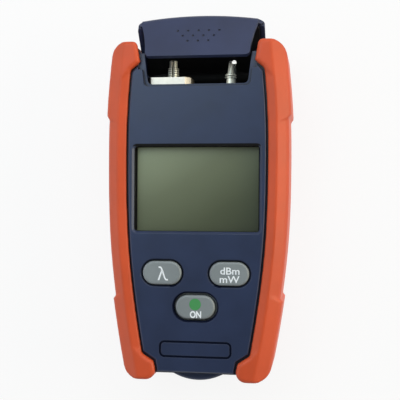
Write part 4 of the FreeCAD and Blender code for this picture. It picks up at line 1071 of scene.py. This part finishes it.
@dataclass
class Guards:
    """Rubber side guards: the CAD form with its edges softened as moulded rubber is.

    Attributes:
        paint: where finishes come from.
        weld: distance below which points are joined.
        voxel: size of the cells that the form is recast in.
        passes: smoothing passes.
        strength: share of the way that a pass moves each point.
    """

    paint: Paintbox
    weld: float = 0.002 * MM
    voxel: float = 0.55 * MM
    passes: int = 3
    strength: float = 0.5

    def build(self) -> None:
        """Makes both guards."""
        for node in ("left_bumper", "right_bumper"):
            self.guard(node)

    def guard(self, node: str) -> bpy.types.Object:
        """Softens one guard.

        Args:
            node: the CAD node that the guard stands for.

        Returns:
            The guard.
        """
        shape = bmesh.new()
        shape.from_mesh(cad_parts[node].data)
        bmesh.ops.remove_doubles(shape, verts=shape.verts, dist=self.weld)
        rubber = self.paint.get(Slot.GUARD)
        piece = new_piece(node + "_rubber", mesh_of(shape, node), "casing", rubber)
        mould = piece.modifiers.new("mould", "REMESH")
        mould.mode = "VOXEL"
        mould.voxel_size = self.voxel
        soften = piece.modifiers.new("soften", "SMOOTH")
        soften.factor = self.strength
        soften.iterations = self.passes
        finished = bpy.data.meshes.new_from_object(piece.evaluated_get(bpy.context.evaluated_depsgraph_get()))
        piece.modifiers.clear()
        piece.data = finished
        dress(piece, rubber)
        finished.shade_smooth()
        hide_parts(node)
        log.info("%s softened, %d faces", piece.name, len(finished.polygons))
        return piece


@dataclass(frozen=True)
class Sign:
    """Letters printed on a key.

    Attributes:
        name: the piece's name.
        text: the letters.
        key: the CAD node of the key.
        body: the body that the key rides on.
        size: width and height that the letter body is set to.
        shift: place from the middle of the key.
        thicken: how far the strokes are fattened, as a share of the height.
    """

    name: str
    text: str
    key: str
    body: str
    size: Pair
    shift: Pair
    thicken: float = 0.016


@dataclass
class KeyMarks:
    """Printed marks on the three keys.

    Attributes:
        paint: where finishes come from.
        film: thickness of the print.
        signs: the letters.
        dot_radius: radius of the dot.
        dot_shift: place of the dot from the middle of its key.
        dot_steps: facets round the dot.
    """

    paint: Paintbox
    film: float = 0.03 * MM
    signs: Tuple[Sign, ...] = (
        Sign("wavelength_mark", "λ", "lambda_key", "wavelength_key",
             (7.0 * MM, 7.4 * MM), (0.4 * MM, -0.2 * MM), 0.004),
        Sign("power_unit_mark", "dBm", "unit_key", "units_key", (4.3 * MM, 3.9 * MM), (0.3 * MM, 1.2 * MM)),
        Sign("watt_unit_mark", "mW", "unit_key", "units_key", (4.4 * MM, 3.9 * MM), (0.2 * MM, -2.1 * MM)),
        Sign("on_mark", "ON", "function_key", "mode_key", (2.9 * MM, 3.6 * MM), (0.2 * MM, -2.9 * MM), 0.04))
    dot_radius: float = 2.3 * MM
    dot_shift: Pair = (0.0, 1.1 * MM)
    dot_steps: int = 64

    def build(self) -> None:
        """Prints every key."""
        for sign in self.signs:
            self.letters(sign)
        self.dot("lamp_mark", "function_key", "mode_key")

    def seat(self, key: str, shift: Pair) -> Vector:
        """Returns the point on a key's top that a mark is centred on."""
        spot = middle(key)
        return Vector((spot.x + shift[0], spot.y + shift[1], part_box(key)[1][2]))

    def letters(self, sign: Sign) -> bpy.types.Object:
        """Prints a sign in white.

        Args:
            sign: the letters and their place.

        Returns:
            The printed sign.
        """
        width, height = sign.size
        font = bpy.data.curves.new(sign.name, "FONT")
        font.body = sign.text
        font.size = height
        font.offset = height * sign.thicken
        font.extrude = self.film / 2.0
        font.align_x = "CENTER"
        carrier = bpy.data.objects.new(sign.name + "_letters", font)
        bpy.context.scene.collection.objects.link(carrier)
        mesh = bpy.data.meshes.new_from_object(carrier.evaluated_get(bpy.context.evaluated_depsgraph_get()))
        bpy.data.objects.remove(carrier)
        spans = [[v.co[axis] for v in mesh.vertices] for axis in (0, 1)]
        x, y = ((min(span) + max(span)) / 2.0 for span in spans)
        to_middle = Matrix.Translation((-x, -y, self.film / 2.0))
        squeeze = Matrix.Scale(width / height, 4, (1.0, 0.0, 0.0))
        mesh.transform(Matrix.Translation(self.seat(sign.key, sign.shift)) @ squeeze @ to_middle)
        white = self.paint.custom(Ink("print_white", (244, 248, 253)))
        return new_piece(sign.name, mesh, sign.body, white)

    def dot(self, name: str, key: str, body: str) -> bpy.types.Object:
        """Prints the green dot.

        Args:
            name: the piece's name.
            key: the CAD node of the key.
            body: the body that the key rides on.

        Returns:
            The dot.
        """
        shape = bmesh.new()
        bmesh.ops.create_cone(shape, cap_ends=True, segments=self.dot_steps, radius1=self.dot_radius,
                              radius2=self.dot_radius, depth=self.film)
        spot = self.seat(key, self.dot_shift) + Vector((0.0, 0.0, self.film / 2.0))
        bmesh.ops.translate(shape, verts=shape.verts, vec=spot)
        green = self.paint.custom(Ink("print_green", (64, 144, 80)))
        return new_piece(name, mesh_of(shape, name), body, green)


# ---- stage ------------------------------------------------------------------------------------
@dataclass(frozen=True)
class Lamp:
    """A square soft lamp.

    Attributes:
        name: its name.
        place: where it hangs, in metres.
        size: its side, in metres.
        power: its power in watts.
        colour: its linear colour.
    """

    name: str
    place: Point
    size: float
    power: float
    colour: Rgb = (1.0, 1.0, 1.0)

    def hang(self, target: Point) -> None:
        """Hangs the lamp so that it faces a point.

        Args:
            target: the point, in metres.
        """
        light = bpy.data.lights.new(self.name, "AREA")
        light.color = self.colour
        light.size = self.size
        light.energy = self.power
        lamp = bpy.data.objects.new(self.name, light)
        lamp.location = self.place
        lamp.rotation_euler = (Vector(target) - Vector(self.place)).to_track_quat("-Z", "Y").to_euler()
        bpy.context.scene.collection.objects.link(lamp)


@dataclass
class Stage:
    """Floor, backdrop light, lamps and camera.

    Attributes:
        target: point that the camera looks at.
        eye: where the camera stands.
        roll: turn of the camera about its axis, in degrees.
        lens: focal length in millimetres.
        sensor: width of the sensor in millimetres.
        near_and_far: nearest and farthest distance that the camera shows, in metres.
        lamps: the lamps.
        ceiling: light level of the room.
        wall_top: rise of a ray at which the white walls end, from full white to the ceiling's level.
        floor_reach: half the side of the floor, in metres.
        floor_gap: how far the floor lies below the meter.
        floor_glow: share of the floor that is backdrop to the camera and in reflections.
        paper: linear grey of the floor.
    """

    target: Point = (1.65 * MM, 4.2 * MM, 33.0 * MM)
    eye: Point = (48.4 * MM, 4.2 * MM, 349.6 * MM)
    roll: float = 0.33
    lens: float = 73.0
    sensor: float = 36.0
    near_and_far: Pair = (0.01, 20.0)
    lamps: Tuple[Lamp, ...] = (
        Lamp("key_lamp", (-0.15, 0.22, 0.46), 0.3, 0.95, (0.76, 0.92, 1.0)),
        Lamp("side_lamp", (0.8, 0.1, 0.3), 0.5, 4.1, (1.0, 0.94, 0.7)),
        Lamp("top_lamp", (0.25, 0.55, 0.5), 0.5, 1.8),
        Lamp("left_lamp", (-0.7, 0.0, 0.3), 0.8, 1.8))
    ceiling: float = 0.2
    wall_top: Pair = (0.74, 0.86)
    floor_reach: float = 3.0
    floor_gap: float = 0.2 * MM
    floor_glow: float = 0.88
    paper: float = 0.86

    def build(self) -> None:
        """Sets the whole stage."""
        self.floor()
        self.world()
        for lamp in self.lamps:
            lamp.hang(self.target)
        self.camera()
        bpy.context.scene.view_settings.view_transform = "Standard"

    def background_rays(self, graph: Graph) -> Socket:
        """Picks out the rays that show the backdrop: camera, mirror and see-through rays.

        Args:
            graph: the material that asks.

        Returns:
            A socket that is 1 for those rays and 0 for others.
        """
        path = graph.add("LightPath").outputs
        shown = graph.maths("MAXIMUM", path["Is Camera Ray"], path["Is Glossy Ray"])
        return graph.maths("MAXIMUM", shown, path["Is Transmission Ray"])

    def floor(self) -> None:
        """Lays a pale floor that keeps a soft shadow."""
        shape = bmesh.new()
        bmesh.ops.create_grid(shape, x_segments=1, y_segments=1, size=self.floor_reach)
        floor = bpy.data.objects.new("floor", mesh_of(shape, "floor"))
        floor.location = (0.0, 0.0, CAD_BOX[0][2] - self.floor_gap)
        bpy.context.scene.collection.objects.link(floor)
        graph = Graph("floor_paper")
        graph.surface(Base_Color=(self.paper, self.paper, self.paper, 1.0), Roughness=0.9,
                      Specular_IOR_Level=0.1)
        glow = graph.add("Emission", Color=WHITE, Strength=1.0)
        share = graph.spread(self.background_rays(graph), 0.0, self.floor_glow)
        blend = graph.add("MixShader", Fac=share)
        graph.put(blend.inputs[1], graph.shader.outputs[0])
        graph.put(blend.inputs[2], glow.outputs[0])
        graph.put(graph.output.inputs["Surface"], blend.outputs[0])
        floor.data.materials.append(graph.material)

    def world(self) -> None:
        """Lights the room evenly, with white walls in reflections and a white backdrop."""
        world = bpy.data.worlds.new("room")
        bpy.context.scene.world = world
        world.use_nodes = True
        tree = Tree(world.node_tree)
        path = tree.add("LightPath").outputs
        way = tree.add("TexCoord").outputs["Generated"]
        rise = tree.add("SeparateXYZ", Vector=way).outputs["Z"]
        walls = tree.spread(rise, 1.0, self.ceiling, self.wall_top)
        mirrored = tree.spread(path["Is Glossy Ray"], self.ceiling, walls)
        seen = tree.spread(path["Is Camera Ray"], mirrored, 1.0)
        back = tree.add("Background", Color=WHITE, Strength=seen)
        tree.add("OutputWorld", Surface=back.outputs[0])

    def camera(self) -> None:
        """Stands the camera over the meter, a little to its right."""
        data = bpy.data.cameras.new("camera")
        data.lens = self.lens
        data.sensor_width = self.sensor
        data.clip_start, data.clip_end = self.near_and_far
        camera = bpy.data.objects.new("camera", data)
        camera.location = self.eye
        back = (Vector(self.eye) - Vector(self.target)).normalized()
        right = Vector((0.0, 1.0, 0.0)).cross(back).normalized()
        aim = Matrix((right, back.cross(right), back)).transposed().to_quaternion()
        camera.rotation_mode = "QUATERNION"
        camera.rotation_quaternion = aim @ Quaternion((0.0, 0.0, 1.0), math.radians(self.roll))
        bpy.context.scene.collection.objects.link(camera)
        bpy.context.scene.camera = camera


def main() -> None:
    """Builds the meter's looks in order."""
    logging.basicConfig(level=logging.INFO, format="%(name)s: %(message)s")
    paint = Paintbox()
    parts = (Shells(paint), Metalwork(paint), SplitSleeve(paint), Optics(paint), Cells(paint), Guards(paint),
             KeyMarks(paint), Stage())
    for part in parts:
        log.info("building %s", type(part).__name__)
        part.build()


if __name__ == "__main__":
    main()
